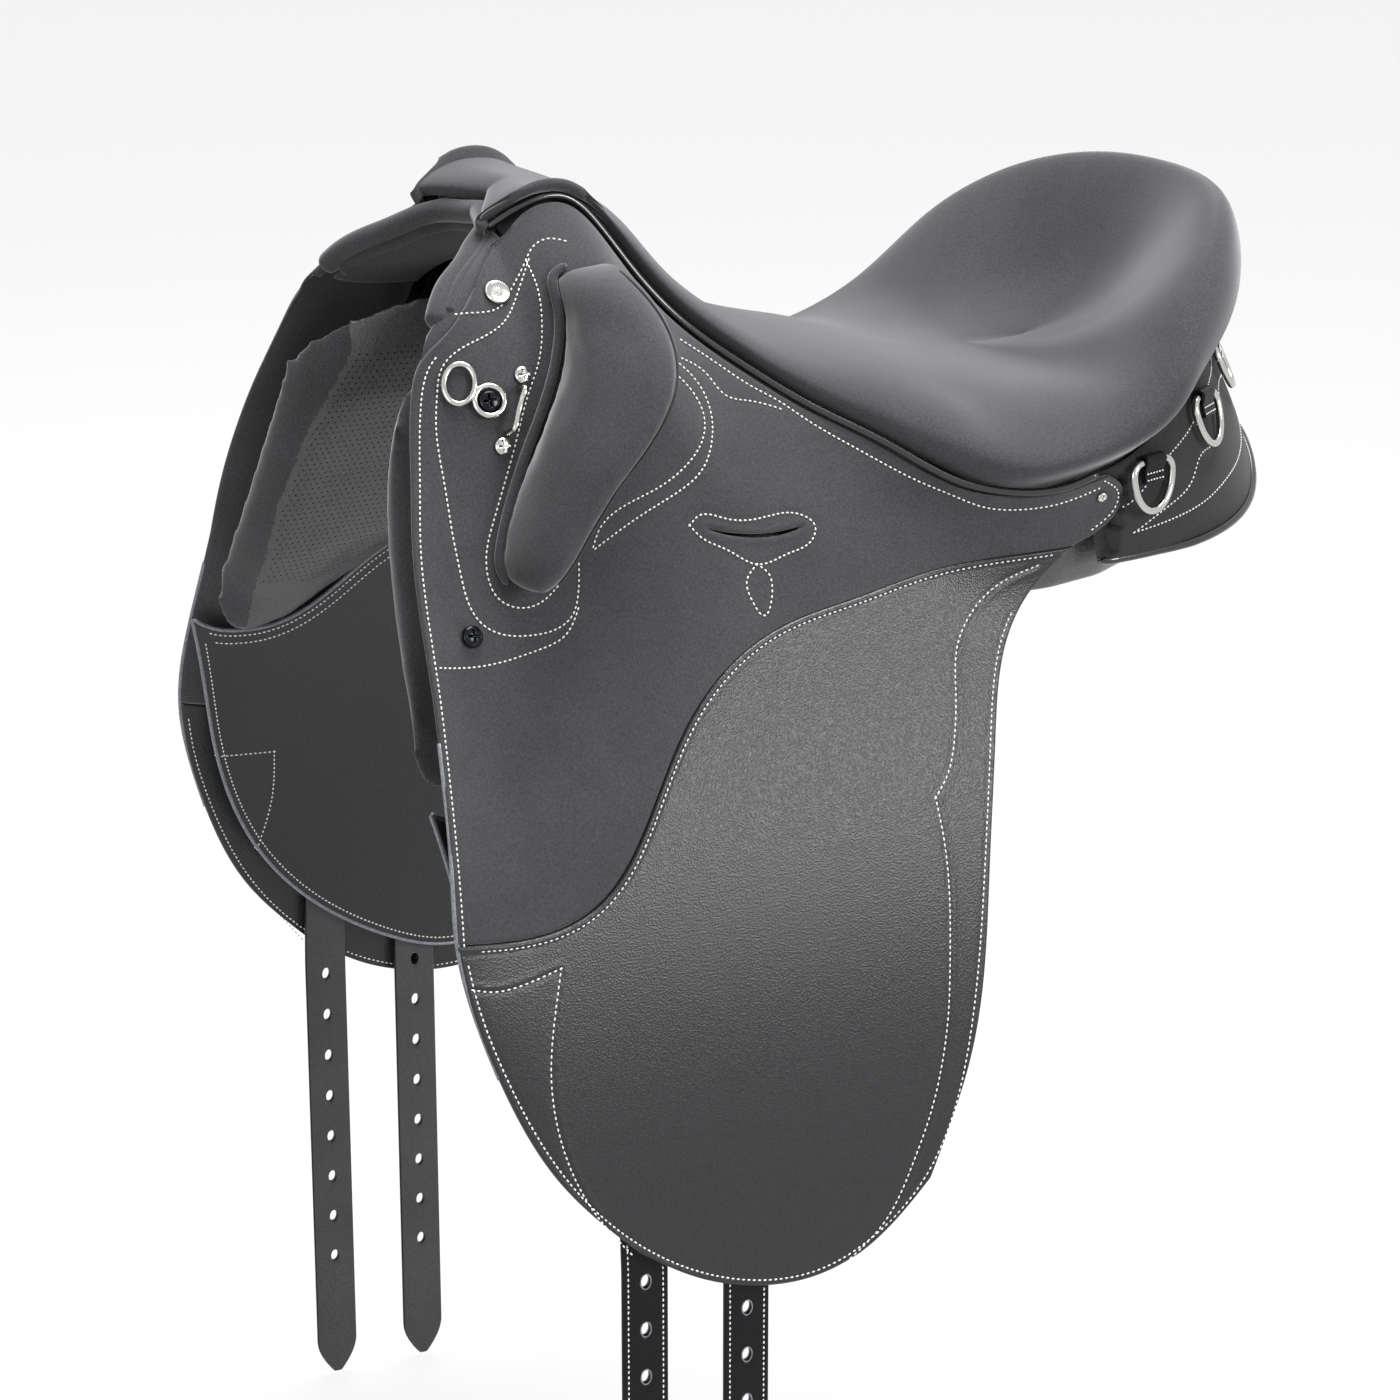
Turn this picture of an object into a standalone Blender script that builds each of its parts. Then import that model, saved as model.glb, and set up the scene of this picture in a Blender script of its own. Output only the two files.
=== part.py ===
"""Stock saddle, built as it comes apart on the bench.

Metres, +Z up. The horse faces -X and the saddle's left side is at -Y. The origin is on the centreline, on the
horse's back under the seat. Everything outside the tree is laid on one surface, side_reach, which says how far
the saddle's side stands from the centreline. The layers below it follow one another inwards with named gaps.
"""

import math

import bmesh
import bpy
import numpy as np
from mathutils import Matrix, Vector
from mathutils.bvhtree import BVHTree

# Clearances
TOUCH = 0.0003            # between pieces that rest on each other
LAID = 0.0006             # between curved sheets that lie on each other
LEFT, RIGHT = -1, 1
SIDES = {"left": LEFT, "right": RIGHT}

# Side surface: height, half-width of the saddle there
HANG = ((-0.34, 0.236), (-0.26, 0.231), (-0.19, 0.221), (-0.12, 0.202), (-0.06, 0.178), (0.0, 0.150),
        (0.06, 0.126), (0.12, 0.107), (0.16, 0.093), (0.185, 0.078), (0.205, 0.055))
# Welt between seat and skirt, front to rear: x, half-width, height
WELT = ((-0.198, 0.0435, 0.1885), (-0.182, 0.049, 0.199), (-0.160, 0.050, 0.2024), (-0.142, 0.053, 0.187),
        (-0.126, 0.058, 0.1645), (-0.104, 0.066, 0.1386), (-0.073, 0.082, 0.1132), (-0.045, 0.099, 0.094),
        (-0.011, 0.120, 0.0748), (0.022, 0.144, 0.0557), (0.039, 0.152, 0.0522), (0.057, 0.159, 0.0516),
        (0.073, 0.163, 0.0545), (0.085, 0.165, 0.0591))
WELT_FADE = 0.085         # depth below the welt over which the side returns to HANG
WELT_R = 0.0021
WELT_ROOM = 0.0038        # between the welt's line and the seat's edge, which is cut into longer steps
# Front edge of the flap, top to bottom: height, x, how far the edge is drawn in (flared out where negative)
FRONT_EDGE = ((0.158, -0.243, 0.0), (0.122, -0.257, 0.012), (0.085, -0.268, 0.004), (0.05, -0.277, -0.003),
              (0.0, -0.286, -0.013), (-0.04, -0.288, -0.014), (-0.085, -0.2885, -0.012),
              (-0.12, -0.2885, -0.006), (-0.157, -0.284, 0.0), (-0.34, -0.25, 0.0))
EDGE_FADE = 0.045         # width of the strip that is drawn in along the front edge
EDGE_MOST = 1.6           # how far past the edge the drawing-in goes on, in strips
EDGE_RANGE = (-0.02, 0.03)

# Layers of the side, outside inwards
FLAP_T = 0.004
STRAP_ROOM = 0.004        # between flap and girth strap
STRAP_T = 0.003
SWEAT_ROOM = 0.0025       # between girth strap and sweat flap
SWEAT_T = 0.003
STRAP_DEPTH = FLAP_T + STRAP_ROOM
SWEAT_DEPTH = STRAP_DEPTH + STRAP_T + SWEAT_ROOM
PANEL_DEPTH = SWEAT_DEPTH + SWEAT_T + LAID

# Fold line of the flap, front and rear end: x, height
FOLD_FRONT = (-0.279, -0.010)
FOLD_REAR = (0.092, 0.0235)
FOLD_GAP = 0.0008         # between skirt and moving flap along the fold

# Outlines of the skirt and of the lower flap: x, height
SKIRT_FRONT = ((-0.193, 0.1815), (-0.205, 0.1725), (-0.2175, 0.1655), (-0.2255, 0.158), (-0.2365, 0.148),
               (-0.251, 0.136), (-0.259, 0.119), (-0.268, 0.085), (-0.275, 0.050), FOLD_FRONT)
SKIRT_REAR = ((0.093, 0.057), (0.105, 0.047), (0.105, 0.036), FOLD_REAR)
FLAP_FRONT = (FOLD_FRONT, (-0.2805, -0.030), (-0.285, -0.080), (-0.287, -0.120))
LEATHER_FRONT = ((-0.287, -0.120), (-0.283, -0.147), (-0.271, -0.188), (-0.245, -0.242), (-0.204, -0.287))
LEATHER_FOOT = ((-0.204, -0.287), (-0.172, -0.307), (-0.139, -0.318), (-0.105, -0.319), (-0.075, -0.308),
                (-0.042, -0.280))
LEATHER_REAR = ((0.080, 0.019), (0.059, 0.003), (0.043, -0.015), (0.030, -0.038), (0.020, -0.069),
                (0.006, -0.125), (-0.013, -0.212), (-0.042, -0.280))
SEAM = ((-0.287, -0.120), (-0.243, -0.124), (-0.209, -0.114), (-0.184, -0.090), (-0.165, -0.063),
        (-0.146, -0.039), (-0.119, -0.017), (-0.088, -0.003), (-0.047, 0.005), (0.015, 0.0155), (0.080, 0.019))
SEAM_GAP = 0.0008

# Sweat flap: x, height
SWEAT_TOP = ((-0.300, -0.050), (-0.262, -0.066), (-0.232, -0.062), (-0.185, -0.026), (-0.130, -0.008),
             (-0.060, -0.006), (0.020, -0.012))
SWEAT_FRONT = ((-0.300, -0.050), (-0.291, -0.080), (-0.270, -0.148), (-0.241, -0.218), (-0.205, -0.258))
SWEAT_FOOT = ((-0.205, -0.258), (-0.165, -0.284), (-0.120, -0.298), (-0.080, -0.286), (-0.055, -0.262))
SWEAT_REAR = ((0.020, -0.012), (0.012, -0.060), (-0.004, -0.140), (-0.024, -0.215), (-0.055, -0.262))

# Slit for the stirrup leather
SLIT_X, SLIT_Z = -0.092, 0.041
SLIT_LENGTH, SLIT_HEIGHT = 0.054, 0.009

# Seat along the pommel and waist: x of the edge, x and height of the crown on the centreline
SEAT_WAIST = ((-0.197, -0.179, 0.1985), (-0.183, -0.171, 0.2035), (-0.171, -0.163, 0.2045),
              (-0.160, -0.154, 0.2035), (-0.151, -0.1455, 0.2015),
              (-0.142, -0.137, 0.1985), (-0.126, -0.117, 0.1850), (-0.104, -0.096, 0.1590),
              (-0.073, -0.068, 0.1350), (-0.045, -0.040, 0.1215), (-0.011, -0.010, 0.1120),
              (0.026, 0.026, 0.1030), (0.060, 0.060, 0.0950))
# Cantle: ovals about CANTLE_X, given as reach to the rear and half-width; angle 90 is the side, 0 the rear centre
CANTLE_X = 0.080
CANTLE_EDGE = (0.135, 0.163)
CANTLE_BULGE = (0.157, 0.174)
CANTLE_RIM = (0.144, 0.155)
CANTLE_ANGLES = (76, 62, 48, 34, 20, 8, 0)
CANTLE_EDGE_Z = ((90, 0.060), (75, 0.070), (60, 0.088), (45, 0.102), (25, 0.114), (0, 0.120))
CANTLE_RIM_Z = ((90, 0.070), (75, 0.100), (60, 0.136), (45, 0.160), (30, 0.173), (0, 0.179))
DISH_X, DISH_Z = 0.132, 0.092
WAIST_SWELL = ((-0.20, 0.0), (-0.05, 0.0), (0.028, 0.003), (0.062, 0.007))
COVER_T = 0.0025
SEAT_FOAM = ((-0.19, 0.006), (-0.13, 0.008), (-0.08, 0.016), (0.0, 0.024), (0.15, 0.026))
EDGE_INSET = 0.007        # from the cover's lower edge in to the edge of foam and tree
EDGE_DROP = 0.005         # and down to it
DECK_POWER = 1.6          # how late the deck rises towards its edge
FRONT_INSET = 0.0065      # from the cover's front edge back to theirs
SEAT_ROWS, SEAT_HALF_COLUMNS = 28, 8

# Tree
TREE_T = 0.0058
TREE_LIP = 0.009          # height of the side lip under the seat's edge
CANTLE_LEAN = 0.35        # how far the lip leans out round the cantle, for each metre down
TREE_LEG_Z = 0.036        # lower end of the two front points
TREE_LEG_REAR = -0.115    # x where the front points end
LIP_ROWS = 5
TREE_ROOM = 0.001         # between skirt and the tree's front points
LIP_ROOM = 0.003          # between skirt and lip

# Gullet plate: the stations and columns of the tree's grid that it lies under
PLATE_STATIONS = 8
PLATE_COLUMNS = (2, 3, 4, 7, 9)
PLATE_GAP = 0.0033
PLATE_T = 0.004

# Roll round the arch, from the centreline outwards: x, half-width, height
ARCH = ((-0.183, 0.0, 0.1875), (-0.187, 0.015, 0.1855), (-0.1935, 0.030, 0.1835), (-0.203, 0.040, 0.179),
        (-0.2128, 0.050, 0.1725), (-0.2253, 0.060, 0.1655), (-0.233, 0.068, 0.159), (-0.2397, 0.077, 0.1495))
ROLL_R = 0.0060
# Lining inside the arch: rearwards from the roll, inwards from it
LINING_T = 0.002
LINING = ((0.002, 0.0063), (0.009, 0.0092), (0.028, 0.0124), (0.048, 0.0134))

# Rear facing: squarish oval at its foot
FACING_FOOT = (0.167, 0.150)
FACING_POWER = 2.6
FACING_FOOT_Z = ((90, 0.006), (70, 0.008), (50, 0.013), (30, 0.025), (15, 0.040), (0, 0.050))
FACING_T = 0.0025
FACING_SIDE = 76          # degrees from the rear where the facing ends at the skirt
FACING_TUCK, FACING_BELOW = 0.0015, 0.004    # inwards and down from the cover's lower edge to the facing's top
FACING_SWELL = 0.003

# Panel, front to rear: x of its top and of its foot; half-width and height at the channel and at the middle;
# half-width and height of the foot; thickness. Where it would reach past tree, flap or facing it is cut back
PANEL = ((-0.262, -0.284, 0.078, 0.105, 0.100, 0.045, 0.16, -0.050, 0.010),
         (-0.248, -0.272, 0.062, 0.120, 0.102, 0.050, 0.16, -0.068, 0.026),
         (-0.215, -0.235, 0.048, 0.134, 0.108, 0.058, 0.16, -0.058, 0.034),
         (-0.170, -0.185, 0.042, 0.140, 0.108, 0.056, 0.16, -0.026, 0.036),
         (-0.125, -0.130, 0.038, 0.125, 0.106, 0.052, 0.16, -0.012, 0.038),
         (-0.080, -0.080, 0.035, 0.110, 0.108, 0.048, 0.16, -0.006, 0.038),
         (-0.030, -0.030, 0.034, 0.100, 0.110, 0.048, 0.16, -0.005, 0.040),
         (0.030, 0.030, 0.034, 0.095, 0.112, 0.048, 0.16, 0.000, 0.045),
         (0.090, 0.090, 0.034, 0.095, 0.112, 0.050, 0.16, 0.004, 0.055),
         (0.140, 0.140, 0.035, 0.095, 0.106, 0.056, 0.140, 0.010, 0.066),
         (0.180, 0.180, 0.037, 0.092, 0.092, 0.060, 0.126, 0.018, 0.072),
         (0.212, 0.212, 0.041, 0.072, 0.078, 0.062, 0.102, 0.030, 0.052),
         (0.227, 0.227, 0.050, 0.052, 0.066, 0.050, 0.080, 0.036, 0.024))
PANEL_STATIONS, PANEL_ACROSS = 21, 9
TREE_SPREAD = 0.012       # how far round a point of the panel the tree is looked for
PANEL_LEAST = 0.006       # the least thickness that the panel keeps under the tree

# Knee pad, top to bottom: height, x of its front, width along x, how far it stands out
KNEE_PAD = ((0.176, -0.170, 0.022, 0.020), (0.170, -0.180, 0.036, 0.038), (0.156, -0.181, 0.043, 0.054),
            (0.138, -0.185, 0.044, 0.066), (0.118, -0.194, 0.042, 0.069), (0.096, -0.207, 0.038, 0.063),
            (0.074, -0.219, 0.034, 0.053), (0.054, -0.228, 0.029, 0.044), (0.041, -0.231, 0.023, 0.035),
            (0.032, -0.228, 0.014, 0.022))
# Its section: share of the width, share of how far it stands out
KNEE_SECTION = ((0.0, 0.0), (0.03, 0.30), (0.14, 0.66), (0.40, 0.97), (0.62, 1.03), (0.86, 0.93), (0.99, 0.60),
                (1.03, 0.28), (1.0, 0.0), (0.67, 0.0), (0.33, 0.0))
PAD_GAP = 0.0027

# Girth straps and the web that carries them
STRAP_W = 0.025
STRAP_X = {"front": -0.198, "rear": -0.142}
STRAP_TOP, STRAP_TIP = 0.020, -0.568
STRAP_POINT = 0.022       # length of the pointed end
STRAP_TIP_W = 0.004
STRAP_HANG_Z = -0.30      # below this the strap hangs straight down
STRAP_ROWS = 11           # above that height
HOLE_PITCH, HOLE_COUNT, HOLE_FIRST = 0.0262, 8, 0.078
HOLE_W, HOLE_H = 0.005, 0.0075
HANGER_T = 0.0025
HANGER_FOOT, HANGER_TOP = 0.000, 0.052
HANGER_FRONT, HANGER_REAR = -0.216, -0.129
HANGER_DEPTH = STRAP_DEPTH + STRAP_T + LAID

# Stirrup bar: its foot behind the front point of the tree, its blade behind the slit
BAR_FOOT_X, BAR_FOOT_REACH, BAR_FOOT_Z = -0.150, 0.042, 0.072
BLADE_X, BLADE_LENGTH, BLADE_Z = -0.095, 0.040, 0.053
BLADE_T, BLADE_H = 0.0035, 0.012
BLADE_DEPTH = 0.0055      # from the side surface to the blade's face

# Rear dees and the leather loops that hold them
WIRE_R = 0.0020
DEE_BAR, DEE_DROP = 0.030, 0.026
DEE_ANGLES = {"side": 74, "middle": 52, "rear": 30}
DEE_HEIGHT = 0.88         # up the facing, share of its height
KEEPER_T, KEEPER_W, KEEPER_TAIL = 0.0015, 0.015, 0.011
KEEPER_ROOM = 0.0005
KEEPER_SEAT = 0.0006

# Front fittings: x and height on the skirt
OVAL_DEE = (-0.237, 0.125)
OVAL_W, OVAL_H, OVAL_WIRE_R = 0.0075, 0.0100, 0.0015
OVAL_LEAN = 8             # degrees
OVAL_SCREW = (-0.2245, 0.117)
EYE_GAP = 0.0004
PANEL_SCREW = (-0.252, 0.012)
BAR_SCREWS = ((-0.205, 0.127), (-0.221, 0.096))
REAR_SCREW = (0.092, 0.045)
BADGE = (-0.207, 0.163)
BADGE_R, BADGE_T = 0.0065, 0.0016
BLACK_SCREW_R, STEEL_SCREW_R, REAR_SCREW_R = 0.0055, 0.0045, 0.0028
HEAD_H, HEAD_STAND = 0.0030, 0.0005
PANEL_SCREW_STAND = 0.0010
ROD_R, ROD_STAND = 0.0016, 0.0090

# Finishes: colour, roughness, metallic
SUEDE = ((0.045, 0.046, 0.048), 0.92, 0.0)
LEATHER = ((0.030, 0.031, 0.033), 0.42, 0.0)
PIPING = ((0.012, 0.012, 0.013), 0.30, 0.0)
PERFORATED = ((0.040, 0.041, 0.043), 0.50, 0.0)
FOAM = ((0.65, 0.62, 0.52), 0.95, 0.0)
PLASTIC = ((0.030, 0.030, 0.032), 0.55, 0.0)
STEEL = ((0.72, 0.72, 0.70), 0.22, 1.0)
BLACK_STEEL = ((0.02, 0.02, 0.022), 0.30, 0.6)


def spline(rows, at):
    """Natural cubic through rows of (key, value, ...), read at the keys in at; straight beyond its ends."""
    rows = np.array(sorted(rows, key=lambda row: row[0]), float)
    keys, values = rows[:, 0], rows[:, 1:]
    count = len(keys)
    gaps = np.diff(keys)
    system = np.eye(count)
    bends = np.zeros_like(values)
    for i in range(1, count - 1):
        system[i, i - 1:i + 2] = gaps[i - 1], 2 * (gaps[i - 1] + gaps[i]), gaps[i]
        bends[i] = 6 * ((values[i + 1] - values[i]) / gaps[i] - (values[i] - values[i - 1]) / gaps[i - 1])
    second = np.linalg.solve(system, bends)
    at = np.asarray(at, float)
    flat = at.reshape(-1)
    i = np.clip(np.searchsorted(keys, flat) - 1, 0, count - 2)
    step, gap = (flat - keys[i])[:, None], gaps[i][:, None]
    inside = np.clip(step, 0, gap)
    slope = (values[i + 1] - values[i]) / gap - gap * (2 * second[i] + second[i + 1]) / 6
    out = values[i] + slope * inside + second[i] / 2 * inside ** 2
    out = out + (second[i + 1] - second[i]) / (6 * gap) * inside ** 3
    end_slope = slope + second[i] * inside + (second[i + 1] - second[i]) / (2 * gap) * inside ** 2
    out = out + end_slope * (step - inside)
    return out.reshape(at.shape + values.shape[1:])


def curve_through(points, count):
    """A smooth curve through the points, cut into count points at even steps along it."""
    points = np.array(points, float)
    lengths = np.r_[0, np.cumsum(np.linalg.norm(np.diff(points, axis=0), axis=1))]
    fine = spline(np.c_[lengths, points], np.linspace(0, lengths[-1], 400))
    run = np.r_[0, np.cumsum(np.linalg.norm(np.diff(fine, axis=0), axis=1))]
    even = np.linspace(0, run[-1], count)
    return np.stack([np.interp(even, run, fine[:, k]) for k in range(points.shape[1])], 1)


def shifted(path, distance):
    """The path in the x-z plane, moved sideways by distance, upwards for a path that runs to +x."""
    path = np.array(path, float)
    along = np.gradient(path, axis=0)
    along /= np.linalg.norm(along, axis=1)[:, None]
    return path + distance * np.c_[-along[:, 1], along[:, 0]]


def welt_at(x):
    """Half-width and height of the welt at x."""
    return spline(WELT, x)


def side_reach(x, z):
    """Half-width of the saddle's outer side at x and height z."""
    x, z = np.broadcast_arrays(np.asarray(x, float), np.asarray(z, float))
    hang = spline(HANG, z)[..., 0]
    welt = welt_at(np.clip(x, WELT[0][0], WELT[-1][0]))
    drawn = welt[..., 0] - spline(HANG, welt[..., 1])[..., 0]
    fade = (1 - np.clip((welt[..., 1] - z) / WELT_FADE, 0, 1)) ** 2
    edge = spline(FRONT_EDGE, z)
    depth = np.clip(edge[..., 1], *EDGE_RANGE)
    strip = np.clip((edge[..., 0] + EDGE_FADE - x) / EDGE_FADE, 0, EDGE_MOST)
    return hang + drawn * fade - depth * strip ** 2


def on_side(x, z, side, depth=0.0):
    """A point on the side surface, depth below it."""
    return Vector((x, side * (float(side_reach(x, z)) - depth), z))


def side_frame(x, z, side, depth=0.0):
    """A frame on the side surface: Z points out of it, Y up along it."""
    step = 0.001
    slope_x = float(side_reach(x + step, z) - side_reach(x - step, z)) / (2 * step)
    slope_z = float(side_reach(x, z + step) - side_reach(x, z - step)) / (2 * step)
    out = Vector((-slope_x, side, -slope_z)).normalized()
    return frame_at(on_side(x, z, side) - depth * out, out, Vector((0, 0, 1)))


def frame_at(place, out, up):
    """A frame at place whose Z is out and whose Y leans towards up."""
    out = Vector(out).normalized()
    across = Vector(up).cross(out).normalized()
    lift = out.cross(across)
    turned = Matrix((across, lift, out)).transposed().to_4x4()
    return Matrix.Translation(place) @ turned


def material(name, finish):
    colour, roughness, metallic = finish
    made = bpy.data.materials.new(name)
    made.use_nodes = True
    shader = made.node_tree.nodes["Principled BSDF"]
    shader.inputs["Base Color"].default_value = (*colour, 1)
    shader.inputs["Roughness"].default_value = roughness
    shader.inputs["Metallic"].default_value = metallic
    return made


def add_mesh(name, vertices, faces, finish=None, place=None):
    """A named object from vertices and faces, its normals made to point out."""
    shape = bmesh.new()
    points = [shape.verts.new(Vector(v)) for v in vertices]
    for face in faces:
        corners = [points[i] for i in face]
        if len(set(face)) > 2:
            shape.faces.new(corners)
    bmesh.ops.remove_doubles(shape, verts=shape.verts, dist=1e-6)
    bmesh.ops.recalc_face_normals(shape, faces=shape.faces)
    mesh = bpy.data.meshes.new(name)
    shape.to_mesh(mesh)
    shape.free()
    if place is not None:
        mesh.transform(place)
    made = bpy.data.objects.new(name, mesh)
    bpy.context.scene.collection.objects.link(made)
    if finish:
        mesh.materials.append(material(f"{name}_finish", finish))
    return made


def grid_faces(rows, columns, start=0, closed=False):
    """Quads over a grid of vertices numbered row by row; closed joins the last column to the first."""
    last = columns if closed else columns - 1
    return [(start + r * columns + c, start + r * columns + (c + 1) % columns,
             start + (r + 1) * columns + (c + 1) % columns, start + (r + 1) * columns + c)
            for r in range(rows - 1) for c in range(last)]


def halved(faces):
    """Every quad as two triangles, cut the same way, so that sheets on one grid follow each other exactly."""
    return [face[:3] for face in faces] + [(face[0], face[2], face[3]) for face in faces]


def slab(name, outer, inner, finish, folded=False):
    """A closed solid between two grids, with walls round their edges; a folded grid's last row meets itself."""
    rows, columns = outer.shape[:2]
    size = rows * columns
    vertices = np.r_[outer.reshape(-1, 3), inner.reshape(-1, 3)]
    faces = halved(grid_faces(rows, columns) + grid_faces(rows, columns, size))
    rim = [r * columns for r in range(rows - 1, 0, -1)] + list(range(columns))
    rim += [r * columns + columns - 1 for r in range(1, rows)]
    if not folded:
        rim += [(rows - 1) * columns + c for c in range(columns - 2, -1, -1)]
    for a, b in zip(rim, rim[1:]):
        faces.append((a, b, b + size, a + size))
    return add_mesh(name, vertices, faces, finish)


def loft(name, rings, finish=None, place=None):
    """A closed solid through rings of points, with flat ends."""
    rings = np.array(rings)
    count, around = rings.shape[:2]
    faces = grid_faces(count, around, closed=True)
    faces += [tuple(range(around)), tuple(range((count - 1) * around, count * around))]
    return add_mesh(name, rings.reshape(-1, 3), faces, finish, place)


def tube(name, path, radius, sides, finish=None, place=None, closed=False):
    """A round rod along a path; a closed path makes a ring."""
    path = [Vector(p) for p in path]
    count = len(path)
    rings = []
    across = None
    for i, point in enumerate(path):
        if closed:
            along = path[(i + 1) % count] - path[i - 1]
        else:
            along = path[min(i + 1, count - 1)] - path[max(i - 1, 0)]
        along.normalize()
        if across is None:
            across = along.orthogonal().normalized()
        across = (across - across.dot(along) * along).normalized()
        lift = along.cross(across)
        turns = [2 * math.pi * k / sides for k in range(sides)]
        rings.append([point + radius * (math.cos(a) * across + math.sin(a) * lift) for a in turns])
    if not closed:
        return loft(name, rings, finish, place)
    faces = grid_faces(count, sides, closed=True)
    first = (count - 1) * sides
    match = min(range(sides), key=lambda k: (rings[-1][0] - rings[0][k]).length)
    for k in range(sides):
        faces.append((first + k, first + (k + 1) % sides, (match + k + 1) % sides, (match + k) % sides))
    return add_mesh(name, np.array(rings).reshape(-1, 3), faces, finish, place)


def turned(name, profile, sides, finish=None, place=None):
    """A solid of revolution about Z from a profile of (radius, height) that starts and ends on the axis."""
    rings = []
    for radius, height in profile[1:-1]:
        turns = [2 * math.pi * k / sides for k in range(sides)]
        rings.append([(radius * math.cos(a), radius * math.sin(a), height) for a in turns])
    vertices = np.array(rings).reshape(-1, 3).tolist() + [(0, 0, profile[0][1]), (0, 0, profile[-1][1])]
    faces = grid_faces(len(rings), sides, closed=True)
    foot, head = len(vertices) - 2, len(vertices) - 1
    top = (len(rings) - 1) * sides
    for k in range(sides):
        faces.append((foot, k, (k + 1) % sides))
        faces.append((head, top + k, top + (k + 1) % sides))
    return add_mesh(name, vertices, faces, finish, place)


def box(name, low, high, place=None):
    (x0, y0, z0), (x1, y1, z1) = low, high
    vertices = [(x, y, z) for x in (x0, x1) for y in (y0, y1) for z in (z0, z1)]
    faces = [(0, 1, 3, 2), (4, 6, 7, 5), (0, 4, 5, 1), (2, 3, 7, 6), (0, 2, 6, 4), (1, 5, 7, 3)]
    return add_mesh(name, vertices, faces, None, place)


def combine(target, tool, operation):
    """A Boolean on target; the tool stays as a hidden guide."""
    step = target.modifiers.new(operation.lower(), "BOOLEAN")
    step.operation = operation
    step.solver = "EXACT"
    step.object = tool
    tool.hide_render = True
    tool.display_type = "WIRE"
    return target


def coons(top, foot, front, rear, columns, rows):
    """A grid of (x, z) points inside four boundary curves; top and foot run to the rear, front and rear down."""
    top, foot = curve_through(top, columns), curve_through(foot, columns)
    front, rear = curve_through(front, rows), curve_through(rear, rows)
    front[0], front[-1], rear[0], rear[-1] = top[0], foot[0], top[-1], foot[-1]
    u = np.linspace(0, 1, columns)[None, :, None]
    v = np.linspace(0, 1, rows)[:, None, None]
    across = (1 - v) * top[None] + v * foot[None]
    down = (1 - u) * front[:, None] + u * rear[:, None]
    corners = (1 - v) * ((1 - u) * top[0] + u * top[-1]) + v * ((1 - u) * foot[0] + u * foot[-1])
    return across + down - corners


def sheet(name, flat, side, depth, thickness, finish):
    """A sheet of leather over a grid of (x, z), its face depth below the side surface."""
    reach = side_reach(flat[..., 0], flat[..., 1])
    outer = np.stack([flat[..., 0], side * (reach - depth), flat[..., 1]], -1)
    inner = outer - np.array([0, side * thickness, 0])
    return slab(name, outer, inner, finish)


def oval(size, angle, power=2.0):
    """A point on the (super)oval about CANTLE_X: x and half-width, at degrees from the rear."""
    turn = np.radians(np.asarray(angle, float))
    return (CANTLE_X + size[0] * np.abs(np.cos(turn)) ** (2 / power),
            size[1] * np.abs(np.sin(turn)) ** (2 / power))


def waist_station(edge_x, crown_x, crown_z):
    """Five points from the seat's lower edge to the centreline, on the pommel and waist."""
    width, height = welt_at(edge_x)
    step = 0.001
    slope = (welt_at(edge_x + step)[1] - welt_at(edge_x - step)[1]) / (2 * step)
    clear = (WELT_R + WELT_ROOM) / math.hypot(1, slope)
    edge_x, height = edge_x - clear * slope, height + clear
    rise = crown_z - height
    swell = float(spline(WAIST_SWELL, edge_x)[0])
    shares = ((1.0, 0.0), (0.985, 0.30), (0.80, 0.68), (0.43, 0.93), (0.0, 1.0))
    out = []
    for i, (across, up) in enumerate(shares):
        x = crown_x + (edge_x - crown_x) * across
        out.append((x, width * across + (swell if i == 1 else 0), height + rise * up))
    return out


def cantle_station(angle):
    """The same five points on the cantle: lower edge, bulge, rim, dish and its centre."""
    edge_z = float(spline(CANTLE_EDGE_Z, angle)[0])
    rim_z = float(spline(CANTLE_RIM_Z, angle)[0])
    edge, bulge, rim = (oval(size, angle) for size in (CANTLE_EDGE, CANTLE_BULGE, CANTLE_RIM))
    turn = math.sin(math.radians(angle)) ** 2
    centre = (DISH_X - (DISH_X - 0.088) * turn, 0.0)
    dish = [centre[k] + 0.56 * (rim[k] - centre[k]) for k in (0, 1)]
    return [(*edge, edge_z), (*bulge, edge_z + 0.45 * (rim_z - edge_z)), (*rim, rim_z),
            (*dish, DISH_Z + 0.33 * (rim_z - DISH_Z)), (*centre, DISH_Z)]


def seat_net():
    stations = [waist_station(*row) for row in SEAT_WAIST]
    stations += [cantle_station(angle) for angle in CANTLE_ANGLES]
    return np.array(stations)


def resample(net, rows, columns):
    """The net as a smooth grid of rows by columns."""
    down = spline(np.c_[np.arange(len(net)), net.reshape(len(net), -1)],
                  np.linspace(0, len(net) - 1, rows)).reshape(rows, net.shape[1], 3)
    turned_net = down.transpose(1, 0, 2)
    across = spline(np.c_[np.arange(len(turned_net)), turned_net.reshape(len(turned_net), -1)],
                    np.linspace(0, len(turned_net) - 1, columns)).reshape(columns, rows, 3)
    return across.transpose(1, 0, 2)


def both_halves(half):
    """A grid that runs from the left edge over the centreline to the right edge, from its right half."""
    left = half * np.array([1, -1, 1])
    return np.concatenate([left, half[:, -2::-1]], axis=1)


def grid_normals(grid, outside):
    """Unit normals of a grid, pointing to the side of the point outside."""
    along = np.gradient(grid, axis=0)
    across = np.gradient(grid, axis=1)
    normals = np.cross(along, across)
    normals /= np.maximum(np.linalg.norm(normals, axis=2), 1e-9)[..., None]
    middle = grid.shape[0] // 2, grid.shape[1] // 2
    if np.dot(normals[middle], np.array(outside) - grid[middle]) < 0:
        normals = -normals
    return normals


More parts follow.
